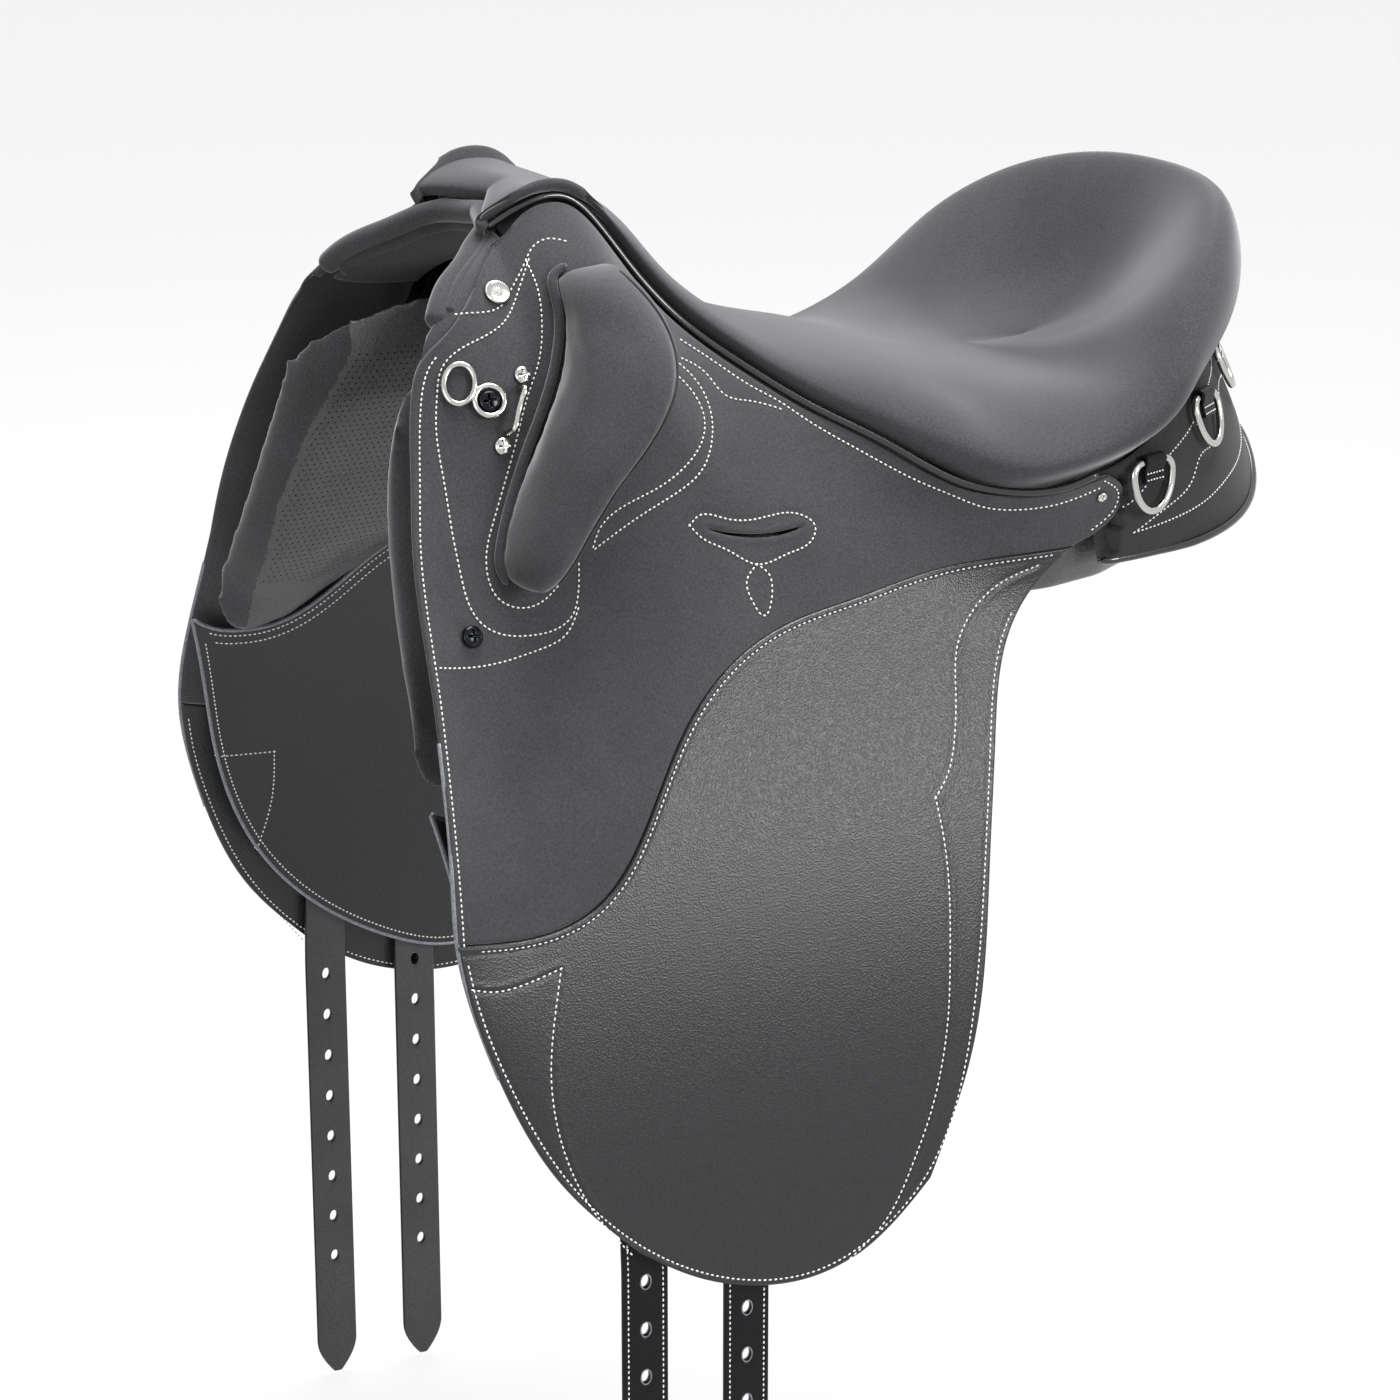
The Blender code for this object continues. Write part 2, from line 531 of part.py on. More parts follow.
def cover_grid():
    """The seat's outer surface."""
    half = resample(seat_net(), SEAT_ROWS, SEAT_HALF_COLUMNS)
    half[:, -1, 1] = 0
    half[-1, :, 1] = 0
    return both_halves(half)


def seat_normals(grid):
    """Normals of the seat; along the rear centreline the two halves share theirs."""
    normals = grid_normals(grid, (0, 0, 1))
    last = normals[-1] + normals[-1, ::-1]
    last[:, 1] = 0
    last[len(last) // 2] = 0, 0, 1
    normals[-1] = last / np.linalg.norm(last, axis=1)[:, None]
    return normals


def deck_half():
    """The surface that the foam rests on, edge to centreline, on the rows and columns of the cover."""
    net = seat_net()
    shares = np.array([1.0, 0.93, 0.78, 0.42, 0.0])
    stations = []
    for i, station in enumerate(net):
        edge, centre = station[0], station[4]
        run = centre[:2] - edge[:2]
        inset = edge[:2] + run * EDGE_INSET / max(np.linalg.norm(run), EDGE_INSET)
        bottom = centre[2] - COVER_T - float(spline(SEAT_FOAM, centre[0])[0])
        edge_z = edge[2] - EDGE_DROP
        points = []
        for share in shares:
            x, y = centre[:2] + (inset - centre[:2]) * share
            height = bottom + (edge_z - bottom) * share ** DECK_POWER
            points.append((x + (FRONT_INSET if i == 0 else 0), y, height))
        stations.append(points)
    half = resample(np.array(stations), SEAT_ROWS, SEAT_HALF_COLUMNS)
    half[:, -1, 1] = 0
    half[-1, :, 1] = 0
    return half


def make_seat():
    cover = cover_grid()
    normals = seat_normals(cover)
    slab("seat_cover", cover, cover - COVER_T * normals, SUEDE, folded=True)
    top = cover - (COVER_T + LAID) * normals
    top[0, :, 0] += FRONT_INSET
    slab("seat_foam", top, both_halves(deck_half()), FOAM, folded=True)


def tree_grid():
    """The tree's outer surface: deck, then a lip down each side, which is long at the two front points."""
    half = deck_half() - np.array([0, 0, 2 * LAID])
    waist_rows = (len(SEAT_WAIST) - 1) / (len(SEAT_WAIST) + len(CANTLE_ANGLES) - 1) * (SEAT_ROWS - 1)
    lips = []
    for r, row in enumerate(half):
        x, y, z = row[0]
        low = TREE_LEG_Z if x <= TREE_LEG_REAR else z - TREE_LIP
        lip = []
        for k in range(LIP_ROWS, 0, -1):
            drop = z + (low - z) * k / LIP_ROWS
            if r < waist_rows:
                room = TREE_ROOM if x <= TREE_LEG_REAR else LIP_ROOM
                lip.append((x, min(float(side_reach(x, drop)) - FLAP_T - room, y + 0.9 * (z - drop)), drop))
            else:
                away = Vector((x - CANTLE_X, y)).normalized()
                lean = CANTLE_LEAN * (z - drop) * away.x
                lip.append((x + lean * away.x, y + lean * away.y, drop))
        lips.append(lip)
    return both_halves(np.concatenate([np.array(lips), half], axis=1))


def make_tree():
    outer = tree_grid()
    normals = seat_normals(outer)
    lips = [*range(LIP_ROWS), *range(-LIP_ROWS, 0)]
    level = outer[:, lips] * np.array([1, 1, 0]) - np.array([CANTLE_X, 0, 0])
    level[..., 0] = np.maximum(level[..., 0], 0)
    rise = np.arange(LIP_ROWS) / LIP_ROWS
    level[..., 2] = np.linalg.norm(level, axis=2) * np.r_[rise, rise[::-1]]
    normals[:, lips] = level / np.linalg.norm(level, axis=2)[..., None]
    tree = slab("tree", outer, outer - TREE_T * normals, PLASTIC, folded=True)
    centre = outer.shape[1] // 2
    arch = outer[:PLATE_STATIONS, [*PLATE_COLUMNS, centre, *(2 * centre - c for c in PLATE_COLUMNS[::-1])]]
    facing_out = grid_normals(arch, (0, 0, 1))
    start = TREE_T + PLATE_GAP
    slab("gullet_plate", arch - start * facing_out, arch - (start + PLATE_T) * facing_out, STEEL)
    return tree


def arch_path(count):
    half = curve_through(ARCH, count)
    left = half[::-1] * np.array([1, -1, 1])
    return np.concatenate([left, half[1:]])


def make_arch():
    path = arch_path(12)
    tube("arch_roll", path, ROLL_R, 8, SUEDE)
    along = np.gradient(path, axis=0)
    inwards = np.c_[np.zeros(len(path)), -along[:, 2], along[:, 1]]
    inwards /= -np.linalg.norm(inwards, axis=1)[:, None]
    back = np.array([1, 0, 0])
    outer = np.stack([path + x * back + sink * inwards for x, sink in LINING], 1)
    inner = np.stack([path + x * back + (sink + LINING_T) * inwards for x, sink in LINING], 1)
    slab("arch_lining", outer, inner, SUEDE)


def make_welt(label, side):
    points = curve_through([(x, side * w, z) for x, w, z in WELT], 32)
    tube(f"welt_{label}", points, WELT_R, 6, PIPING)


def move_origin(made, place):
    """Puts a moving piece's origin on its joint's axis."""
    made.data.transform(Matrix.Translation(-Vector(place)))
    made.location = place


def make_flap(label, side):
    welt_line = shifted(curve_through([(x, z) for x, _, z in WELT], 80), -(WELT_R + TOUCH + LAID))
    fold = np.array([FOLD_FRONT, FOLD_REAR])
    skirt_top = [SKIRT_FRONT[0]] + [tuple(p) for p in welt_line[4:-2:6]] + [SKIRT_REAR[0]]
    skirt = coons(skirt_top, shifted(fold, FOLD_GAP / 2), SKIRT_FRONT, SKIRT_REAR, 21, 10)
    made = sheet(f"skirt_{label}", skirt, side, 0.0, FLAP_T, SUEDE)
    slit = box(f"slit_guide_{label}", (-SLIT_LENGTH / 2, -SLIT_HEIGHT / 2, -0.02),
               (SLIT_LENGTH / 2, SLIT_HEIGHT / 2, 0.02), side_frame(SLIT_X, SLIT_Z, side))
    combine(made, slit, "DIFFERENCE")
    suede = coons(shifted(fold, -FOLD_GAP / 2), shifted(SEAM, SEAM_GAP / 2), FLAP_FRONT,
                  (FOLD_REAR, SEAM[-1]), 17, 6)
    leather = coons(shifted(SEAM, -SEAM_GAP / 2), LEATHER_FOOT, LEATHER_FRONT, LEATHER_REAR, 17, 10)
    hinge = on_side(*FOLD_FRONT, side)
    move_origin(sheet(f"flap_suede_{label}", suede, side, 0.0, FLAP_T, SUEDE), hinge)
    move_origin(sheet(f"flap_leather_{label}", leather, side, 0.0, FLAP_T, LEATHER), hinge)
    return made


def make_sweat_flap(label, side):
    flat = coons(SWEAT_TOP, SWEAT_FOOT, SWEAT_FRONT, SWEAT_REAR, 13, 10)
    sheet(f"sweat_flap_{label}", flat, side, SWEAT_DEPTH, SWEAT_T, LEATHER)


def make_facing():
    """The leather round the rear, from the cover's lower edge down to the panels."""
    rows = []
    angles = np.linspace(-FACING_SIDE, FACING_SIDE, 23)
    for angle in angles:
        turn, side = abs(angle), math.copysign(1, angle)
        top_x, top_y = oval([reach - FACING_TUCK for reach in CANTLE_EDGE], turn)
        foot_x, foot_y = oval(FACING_FOOT, turn, FACING_POWER)
        top_z = float(spline(CANTLE_EDGE_Z, turn)[0]) - FACING_BELOW
        foot_z = float(spline(FACING_FOOT_Z, turn)[0])
        out = Vector((math.cos(math.radians(angle)), math.sin(math.radians(angle)), 0))
        row = []
        for share in (0.0, 0.33, 0.67, 1.0):
            swell = FACING_SWELL * 4 * share * (1 - share)
            point = Vector((top_x, side * top_y, top_z)).lerp(Vector((foot_x, side * foot_y, foot_z)), share)
            row.append(point + swell * out)
        rows.append(row)
    outer = np.array(rows)
    normals = grid_normals(outer, (1, 0, 0.1))
    slab("rear_facing", outer, outer - FACING_T * normals, LEATHER)
    return outer, normals


def ray_up(tree):
    """A search that gives the lowest height of the tree's underside round a point, or nothing beyond it."""
    mesh = tree.data
    surface = BVHTree.FromPolygons([v.co for v in mesh.vertices], [p.vertices for p in mesh.polygons])

    def height(x, y):
        spots = [(x, y + k * TREE_SPREAD) for k in (-1, 0, 1)] + [(x + k * TREE_SPREAD, y) for k in (-1, 1)]
        hits = [surface.ray_cast(Vector((*spot, -0.1)), Vector((0, 0, 1)))[0] for spot in spots]
        return min((hit.z for hit in hits if hit), default=None)
    return height


def panel_section(row, tree_over):
    """Points round the panel at one station, cut back where tree, flap and facing are."""
    x_top, x_foot, *shape, thickness = row
    outer = spline(np.c_[(0, 0.5, 1), np.array(shape).reshape(3, 2)], np.linspace(0, 1, PANEL_ACROSS))
    share = np.linspace(0, 1, PANEL_ACROSS)
    chord = outer[-1] - outer[0]
    inwards = np.array([chord[1], -chord[0]]) / np.linalg.norm(chord)
    inner = outer + np.outer(thickness * (1 - np.abs(2 * share - 1) ** 3), inwards)
    ring = [(v, point, 0) for v, point in zip(share, outer)]
    ring += [(v, point, PANEL_LEAST) for v, point in zip(share, inner)][-2:0:-1]
    points = []
    for v, (y, z), below in ring:
        x = x_top + (x_foot - x_top) * v
        for _ in range(2):
            over = tree_over(x, y)
            z = min(z, over - 2 * LAID - below) if over else z
            y = min(y, float(side_reach(x, z)) - PANEL_DEPTH)
            reach = np.clip((x - CANTLE_X) / (FACING_FOOT[0] - FACING_T - LAID), 0, 1)
            widest = FACING_FOOT[1] - FACING_T - LAID
            y = min(y, widest * (1 - reach ** FACING_POWER) ** (1 / FACING_POWER))
        points.append((x, y, z))
    return points


def make_panel(label, side, tree_over):
    stations = spline(np.c_[np.arange(len(PANEL)), PANEL], np.linspace(0, len(PANEL) - 1, PANEL_STATIONS))
    rings = [panel_section(row, tree_over) for row in stations]
    loft(f"panel_{label}", np.array(rings) * np.array([1, side, 1]), PERFORATED)


def make_knee_pad(label, side):
    rings = []
    for z, front, width, stand in KNEE_PAD:
        ring = []
        for across, out in KNEE_SECTION:
            x = front + width * across
            ring.append((x, side * (float(side_reach(x, z)) + PAD_GAP + stand * out), z))
        rings.append(ring)
    loft(f"knee_pad_{label}", rings, SUEDE)


def make_straps(label, side):
    for end, x in STRAP_X.items():
        down = list(np.linspace(STRAP_TOP, STRAP_HANG_Z, STRAP_ROWS))
        down += [STRAP_TIP + STRAP_POINT, STRAP_TIP]
        widths = [STRAP_W] * (len(down) - 1) + [STRAP_TIP_W]
        reach = [float(side_reach(x, max(z, STRAP_HANG_Z))) - STRAP_DEPTH for z in down]
        outer = np.array([[(x + share * w, side * y, z) for share in (-0.5, 0.5)]
                          for z, w, y in zip(down, widths, reach)])
        inner = outer - np.array([0, side * STRAP_T, 0])
        strap = slab(f"girth_strap_{end}_{label}", outer, inner, LEATHER)
        holes = []
        for k in range(HOLE_COUNT):
            z = STRAP_TIP + HOLE_FIRST + k * HOLE_PITCH
            out = Vector((0, side, 0))
            place = frame_at(Vector((x, side * (reach[-1] - STRAP_T / 2), z)), out, Vector((0, 0, 1)))
            rim = [(HOLE_W / 2 * math.cos(a), HOLE_H / 2 * math.sin(a))
                   for a in np.linspace(0, 2 * math.pi, 8, endpoint=False)]
            holes.append([place @ Vector((a, b, depth)) for depth in (-2 * STRAP_T, 2 * STRAP_T) for a, b in rim])
        faces = []
        for k in range(HOLE_COUNT):
            start = 16 * k
            faces += grid_faces(2, 8, start, closed=True)
            faces += [tuple(range(start, start + 8)), tuple(range(start + 8, start + 16))]
        guide = add_mesh(f"hole_guide_{end}_{label}", [p for hole in holes for p in hole], faces)
        combine(strap, guide, "DIFFERENCE")
        move_origin(strap, (x, side * (reach[0] - STRAP_T / 2), STRAP_TOP))
        guide.parent = strap
        guide.matrix_parent_inverse = Matrix.Translation(-strap.location)


def make_hanger(label, side):
    xs, zs = np.linspace(HANGER_FRONT, HANGER_REAR, 5), np.linspace(HANGER_TOP, HANGER_FOOT, 4)
    flat = np.stack(np.meshgrid(xs, zs), -1)
    sheet(f"strap_hanger_{label}", flat, side, HANGER_DEPTH, HANGER_T, LEATHER)


def make_stirrup_bar(label, side, tree):
    """A flat steel bar: its foot is let into the tree's front point, its blade stands behind the slit."""
    foot_depth = FLAP_T + TREE_ROOM + TREE_T + 4 * LAID + 0.6 * BLADE_T
    blade_depth = BLADE_DEPTH + BLADE_T / 2
    stops = ((BAR_FOOT_X, BAR_FOOT_Z, foot_depth), (BAR_FOOT_X + BAR_FOOT_REACH / 2, BAR_FOOT_Z, foot_depth),
             (BAR_FOOT_X + BAR_FOOT_REACH, BAR_FOOT_Z, foot_depth),
             (BLADE_X, BLADE_Z, blade_depth), (BLADE_X + BLADE_LENGTH, BLADE_Z, blade_depth))
    lean = side_frame(BLADE_X + BLADE_LENGTH / 2, BLADE_Z, side).to_3x3()

    def rings(grown):
        high, thick = BLADE_H / 2 + grown, BLADE_T / 2 + grown
        corners = ((-high, -thick), (high, -thick), (high, thick), (-high, thick))
        return [[on_side(x, z, side, depth) + lean @ Vector((0, up, out)) for up, out in corners]
                for x, z, depth in stops]
    loft(f"stirrup_bar_{label}", rings(0), STEEL)
    combine(tree, loft(f"bar_guide_{label}", rings(LAID)), "DIFFERENCE")


def dee_outline():
    """A D: its straight bar along X at the origin, its bow hanging down in -Y."""
    half, corner = DEE_BAR / 2, 3 * WIRE_R
    path = [(-half + corner, 0, 0), (0, 0, 0), (half - corner, 0, 0), (half, -corner, 0)]
    for turn in np.linspace(20, 160, 6):
        a = math.radians(turn)
        path.append((half * math.cos(a), -corner - (DEE_DROP - corner) * math.sin(a), 0))
    path.append((-half, -corner, 0))
    return path


def keeper_section():
    """The folded strip round the dee's bar, as out and up: its back layer, the loop, its front layer."""
    radius = WIRE_R + KEEPER_ROOM + KEEPER_T / 2
    apart = KEEPER_T / 2 + TOUCH
    line = [(-apart, -KEEPER_TAIL)]
    first = math.degrees(math.asin(apart / radius))
    for turn in np.linspace(-90 - first, first - 360, 9):
        a = math.radians(turn)
        line.append((radius * math.cos(a), radius * math.sin(a)))
    line.append((apart, -KEEPER_TAIL))
    line = np.array(line)
    along = np.gradient(line, axis=0)
    along /= np.linalg.norm(along, axis=1)[:, None]
    normal = np.c_[-along[:, 1], along[:, 0]] * KEEPER_T / 2
    return np.concatenate([line + normal, (line - normal)[::-1]])


def make_rear_dees(label, side, facing, normals):
    columns = np.linspace(-FACING_SIDE, FACING_SIDE, len(facing))
    for name, angle in DEE_ANGLES.items():
        at = np.interp(side * angle, columns, np.arange(len(facing)))
        row = (1 - DEE_HEIGHT) * (facing.shape[1] - 1)
        place = Vector(grid_point(facing, at, row))
        out = Vector(grid_point(normals, at, row)).normalized()
        stand = KEEPER_SEAT + WIRE_R + KEEPER_ROOM + KEEPER_T
        frame = frame_at(place + stand * out, out, Vector((0, 0, 1)))
        section = keeper_section()
        rings = [[(across, up, deep) for deep, up in section] for across in (-KEEPER_W / 2, KEEPER_W / 2)]
        loft(f"dee_keeper_{name}_{label}", rings, LEATHER, frame)
        dee = tube(f"rear_dee_{name}_{label}", dee_outline(), WIRE_R, 6, STEEL, frame, closed=True)
        move_origin(dee, frame.translation)


def grid_point(grid, row, column):
    """A point of a grid between its rows and columns."""
    r, c = min(int(row), len(grid) - 2), min(int(column), grid.shape[1] - 2)
    u, v = row - r, column - c
    near = (1 - v) * grid[r, c] + v * grid[r, c + 1]
    far = (1 - v) * grid[r + 1, c] + v * grid[r + 1, c + 1]
    return (1 - u) * near + u * far


def make_screw(name, spot, side, radius, finish, stand=HEAD_STAND):
    """A domed head that stands on the skirt."""
    profile = ((0, 0), (radius, 0), (radius, HEAD_H * 0.4), (radius * 0.75, HEAD_H * 0.85), (0, HEAD_H))
    return turned(name, profile, 10, finish, side_frame(*spot, side, -stand))


def make_fittings(label, side):
    """Screws, oval dee, rod loop and badge on the skirt."""
    make_screw(f"oval_screw_{label}", OVAL_SCREW, side, BLACK_SCREW_R, BLACK_STEEL)
    make_screw(f"panel_screw_{label}", PANEL_SCREW, side, BLACK_SCREW_R, BLACK_STEEL,
               PANEL_SCREW_STAND)
    make_screw(f"rear_screw_{label}", REAR_SCREW, side, REAR_SCREW_R, STEEL)
    for name, spot in zip(("upper", "lower"), BAR_SCREWS):
        make_screw(f"bar_screw_{name}_{label}", spot, side, STEEL_SCREW_R, STEEL)
    disc = ((0, 0), (BADGE_R, 0), (BADGE_R, BADGE_T * 0.6), (BADGE_R * 0.85, BADGE_T), (0, BADGE_T))
    turned(f"badge_{label}", disc, 14, STEEL, side_frame(*BADGE, side, -HEAD_STAND))
    make_oval_dee(label, side)
    make_rod(label, side)


def make_oval_dee(label, side):
    """A flat oval of wire, welded to an eye that the black screw holds."""
    lift = OVAL_WIRE_R + HEAD_STAND
    frame = side_frame(*OVAL_DEE, side, -lift)
    turns = np.linspace(0, 2 * math.pi, 14, endpoint=False)
    lean = Matrix.Rotation(math.radians(OVAL_LEAN) * side, 4, "Z")
    path = [(OVAL_W * math.cos(a), OVAL_H * math.sin(a), 0) for a in turns]
    made = tube(f"oval_dee_{label}", path, OVAL_WIRE_R, 6, STEEL, frame @ lean, closed=True)
    radius = BLACK_SCREW_R + EYE_GAP + OVAL_WIRE_R
    path = [(radius * math.cos(a), radius * math.sin(a), 0) for a in turns]
    eye = tube(f"eye_guide_{label}", path, OVAL_WIRE_R, 6, STEEL, side_frame(*OVAL_SCREW, side, -lift),
               closed=True)
    combine(made, eye, "UNION")


def make_rod(label, side):
    """A round rod that stands off the skirt between its two screws."""
    upper, lower = (np.array(spot) for spot in BAR_SCREWS)
    along = (lower - upper) / np.linalg.norm(lower - upper)
    clear = STEEL_SCREW_R + ROD_R + TOUCH
    path = []
    for spot, sign in ((upper, 1), (lower, -1)):
        foot = spot + sign * along * clear
        low = side_frame(*foot, side, -(ROD_R * 0.3 + HEAD_STAND)).translation
        high = side_frame(*(foot + sign * along * ROD_R), side, -ROD_STAND).translation
        path.append([low, low.lerp(high, 0.75), high])
    loop = path[0] + [path[0][2].lerp(path[1][2], 0.5)] + path[1][::-1]
    tube(f"strap_bar_{label}", loop, ROD_R, 8, STEEL)


def remove_all():
    for old in list(bpy.data.objects):
        bpy.data.objects.remove(old)


def main():
    remove_all()
    make_seat()
    tree = make_tree()
    tree_over = ray_up(tree)
    make_arch()
    facing, normals = make_facing()
    for label, side in SIDES.items():
        make_welt(label, side)
        make_flap(label, side)
        make_sweat_flap(label, side)
        make_panel(label, side, tree_over)
        make_knee_pad(label, side)
        make_straps(label, side)
        make_hanger(label, side)
        make_stirrup_bar(label, side, tree)
        make_rear_dees(label, side, facing, normals)
        make_fittings(label, side)


main()
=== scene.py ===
"""Stock saddle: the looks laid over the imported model.

Metres, +Z up. The horse faces -X and the saddle's left side is at -Y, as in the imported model.
"""

import math

import bmesh
import bpy
import numpy as np
from mathutils import Matrix, Vector
from mathutils.bvhtree import BVHTree


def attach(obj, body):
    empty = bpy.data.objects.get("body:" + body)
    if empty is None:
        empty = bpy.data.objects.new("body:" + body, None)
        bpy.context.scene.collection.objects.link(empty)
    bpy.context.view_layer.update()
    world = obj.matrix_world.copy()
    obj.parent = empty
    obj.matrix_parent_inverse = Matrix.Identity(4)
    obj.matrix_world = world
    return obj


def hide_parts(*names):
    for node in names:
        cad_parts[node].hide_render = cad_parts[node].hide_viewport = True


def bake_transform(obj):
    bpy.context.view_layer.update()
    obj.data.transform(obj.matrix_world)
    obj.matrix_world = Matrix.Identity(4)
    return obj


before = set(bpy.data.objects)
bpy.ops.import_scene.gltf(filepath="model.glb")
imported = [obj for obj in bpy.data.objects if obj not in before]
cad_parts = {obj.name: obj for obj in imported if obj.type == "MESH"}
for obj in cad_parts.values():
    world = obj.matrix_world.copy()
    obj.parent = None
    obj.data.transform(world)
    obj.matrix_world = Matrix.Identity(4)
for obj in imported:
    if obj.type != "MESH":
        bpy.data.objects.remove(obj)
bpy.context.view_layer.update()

bl_info = {
    "name": "Stock saddle",
    "version": (1, 0, 0),
    "blender": (4, 5, 0),
    "location": "3D View > Sidebar > Saddle",
    "description": "Covers, stitching, fittings and finishes of a stock saddle",
    "category": "Object",
}

LEFT, RIGHT = -1, 1
SIDES = {"left": LEFT, "right": RIGHT}
# Room between laid pieces, how far a thread lies over its leather, and an edge seam from its edge
LAID, THREAD_LIFT, EDGE_SEAM = 0.0006, 0.0001, 0.0035

# The saddle's side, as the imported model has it
HANG = ((-0.34, 0.236), (-0.26, 0.231), (-0.19, 0.221), (-0.12, 0.202), (-0.06, 0.178), (0.0, 0.150),
        (0.06, 0.126), (0.12, 0.107), (0.16, 0.093), (0.185, 0.078), (0.205, 0.055))
WELT = ((-0.198, 0.0435, 0.1885), (-0.182, 0.049, 0.199), (-0.160, 0.050, 0.2024), (-0.142, 0.053, 0.187),
        (-0.126, 0.058, 0.1645), (-0.104, 0.066, 0.1386), (-0.073, 0.082, 0.1132), (-0.045, 0.099, 0.094),
        (-0.011, 0.120, 0.0748), (0.022, 0.144, 0.0557), (0.039, 0.152, 0.0522), (0.057, 0.159, 0.0516),
        (0.073, 0.163, 0.0545), (0.085, 0.165, 0.0591))
WELT_FADE = 0.085
WELT_R, WELT_ROOM = 0.0021, 0.0038
FRONT_EDGE = ((0.158, -0.243, 0.0), (0.122, -0.257, 0.012), (0.085, -0.268, 0.004), (0.05, -0.277, -0.003),
              (0.0, -0.286, -0.013), (-0.04, -0.288, -0.014), (-0.085, -0.2885, -0.012),
              (-0.12, -0.2885, -0.006), (-0.157, -0.284, 0.0), (-0.34, -0.25, 0.0))
EDGE_FADE, EDGE_MOST, EDGE_RANGE = 0.045, 1.6, (-0.02, 0.03)
FLAP_T = 0.004
STRAP_DEPTH, STRAP_T = 0.008, 0.003
SWEAT_DEPTH, SWEAT_T = 0.0135, 0.003
HANGER_DEPTH, HANGER_T = 0.0116, 0.0025

# Outlines on the side: x, height
FOLD_FRONT, FOLD_REAR, FOLD_HALF = (-0.279, -0.010), (0.092, 0.0235), 0.012
SKIRT_FRONT = ((-0.193, 0.1815), (-0.205, 0.1725), (-0.2175, 0.1655), (-0.2255, 0.158), (-0.2365, 0.148),
               (-0.251, 0.136), (-0.259, 0.119), (-0.268, 0.085), (-0.275, 0.050), FOLD_FRONT)
SKIRT_REAR = ((0.093, 0.057), (0.105, 0.047), (0.105, 0.036), FOLD_REAR)
FLAP_FRONT = (FOLD_FRONT, (-0.2805, -0.030), (-0.285, -0.080), (-0.287, -0.120))
LEATHER_FRONT = ((-0.287, -0.120), (-0.283, -0.147), (-0.271, -0.188), (-0.245, -0.242), (-0.204, -0.287))
LEATHER_FOOT = ((-0.204, -0.287), (-0.172, -0.307), (-0.139, -0.318), (-0.105, -0.319), (-0.075, -0.308),
                (-0.042, -0.280))
LEATHER_REAR = ((0.080, 0.019), (0.059, 0.003), (0.043, -0.015), (0.030, -0.038), (0.020, -0.069),
                (0.006, -0.125), (-0.013, -0.212), (-0.042, -0.280))
SEAM = ((-0.287, -0.120), (-0.243, -0.124), (-0.209, -0.114), (-0.184, -0.090), (-0.165, -0.063),
        (-0.146, -0.039), (-0.119, -0.017), (-0.088, -0.003), (-0.047, 0.005), (0.015, 0.0155),
        (0.080, 0.019))
SWEAT_TOP = ((-0.287, -0.063), (-0.275, -0.069), (-0.262, -0.0705), (-0.248, -0.0695), (-0.234, -0.0655),
             (-0.212, -0.0505), (-0.185, -0.0265), (-0.130, -0.008), (-0.060, -0.006), (0.020, -0.012))
SWEAT_FRONT = ((-0.287, -0.063), (-0.283, -0.080), (-0.270, -0.148), (-0.241, -0.218), (-0.205, -0.258))
SWEAT_FOOT = ((-0.205, -0.258), (-0.165, -0.284), (-0.120, -0.298), (-0.080, -0.286), (-0.055, -0.262))
SWEAT_REAR = ((0.020, -0.012), (0.012, -0.060), (-0.004, -0.140), (-0.024, -0.215), (-0.055, -0.262))
SLIT_X, SLIT_Z, SLIT_LENGTH, SLIT_HEIGHT, SLIT_SAG, SLIT_TILT = -0.092, 0.044, 0.052, 0.0022, 0.004, 0.0025

# Seat
SEAT_WAIST = ((-0.197, -0.179, 0.1985), (-0.183, -0.171, 0.2035), (-0.171, -0.163, 0.2045),
              (-0.160, -0.154, 0.2035), (-0.151, -0.1455, 0.2015),
              (-0.142, -0.137, 0.1985), (-0.126, -0.117, 0.1850), (-0.104, -0.096, 0.1590),
              (-0.073, -0.068, 0.1350), (-0.045, -0.040, 0.1215), (-0.011, -0.010, 0.1120),
              (0.026, 0.026, 0.1030), (0.060, 0.060, 0.0950))
CANTLE_X = 0.080
CANTLE_EDGE, CANTLE_BULGE, CANTLE_RIM = (0.135, 0.163), (0.157, 0.174), (0.144, 0.155)
CANTLE_ANGLES = (76, 62, 48, 34, 20, 8, 0)
CANTLE_EDGE_Z = ((90, 0.060), (75, 0.070), (60, 0.088), (45, 0.102), (25, 0.114), (0, 0.120))
CANTLE_RIM_Z = ((90, 0.070), (75, 0.100), (60, 0.136), (45, 0.160), (30, 0.173), (0, 0.179))
DISH_X, DISH_Z = 0.132, 0.092
WAIST_SWELL = ((-0.20, 0.0), (-0.05, 0.0), (0.028, 0.003), (0.062, 0.007))
COVER_T = 0.0025
SEAT_FOAM = ((-0.19, 0.006), (-0.13, 0.008), (-0.08, 0.016), (0.0, 0.024), (0.15, 0.026))
EDGE_INSET, EDGE_DROP, DECK_POWER, FRONT_INSET = 0.007, 0.005, 1.6, 0.0065
# How far the cover's edge is drawn in, how far down at the waist and the cantle, and where its front end goes
TUCK, TUCK_DROPS, NOSE_TUCK = 0.0042, (0.0052, 0.0035), (0.0015, 0, -0.0065)
# Share of the seat's way in from its edge where the foam begins, and its least thickness
FOAM_START, FOAM_LEAST = 0.20, 0.002

# Arch, facing and dees
ARCH = ((-0.183, 0.0, 0.1875), (-0.187, 0.015, 0.1855), (-0.1935, 0.030, 0.1835), (-0.203, 0.040, 0.179),
        (-0.2128, 0.050, 0.1725), (-0.2253, 0.060, 0.1655), (-0.233, 0.068, 0.159), (-0.2397, 0.077, 0.1495))
ROLL_R = 0.0060
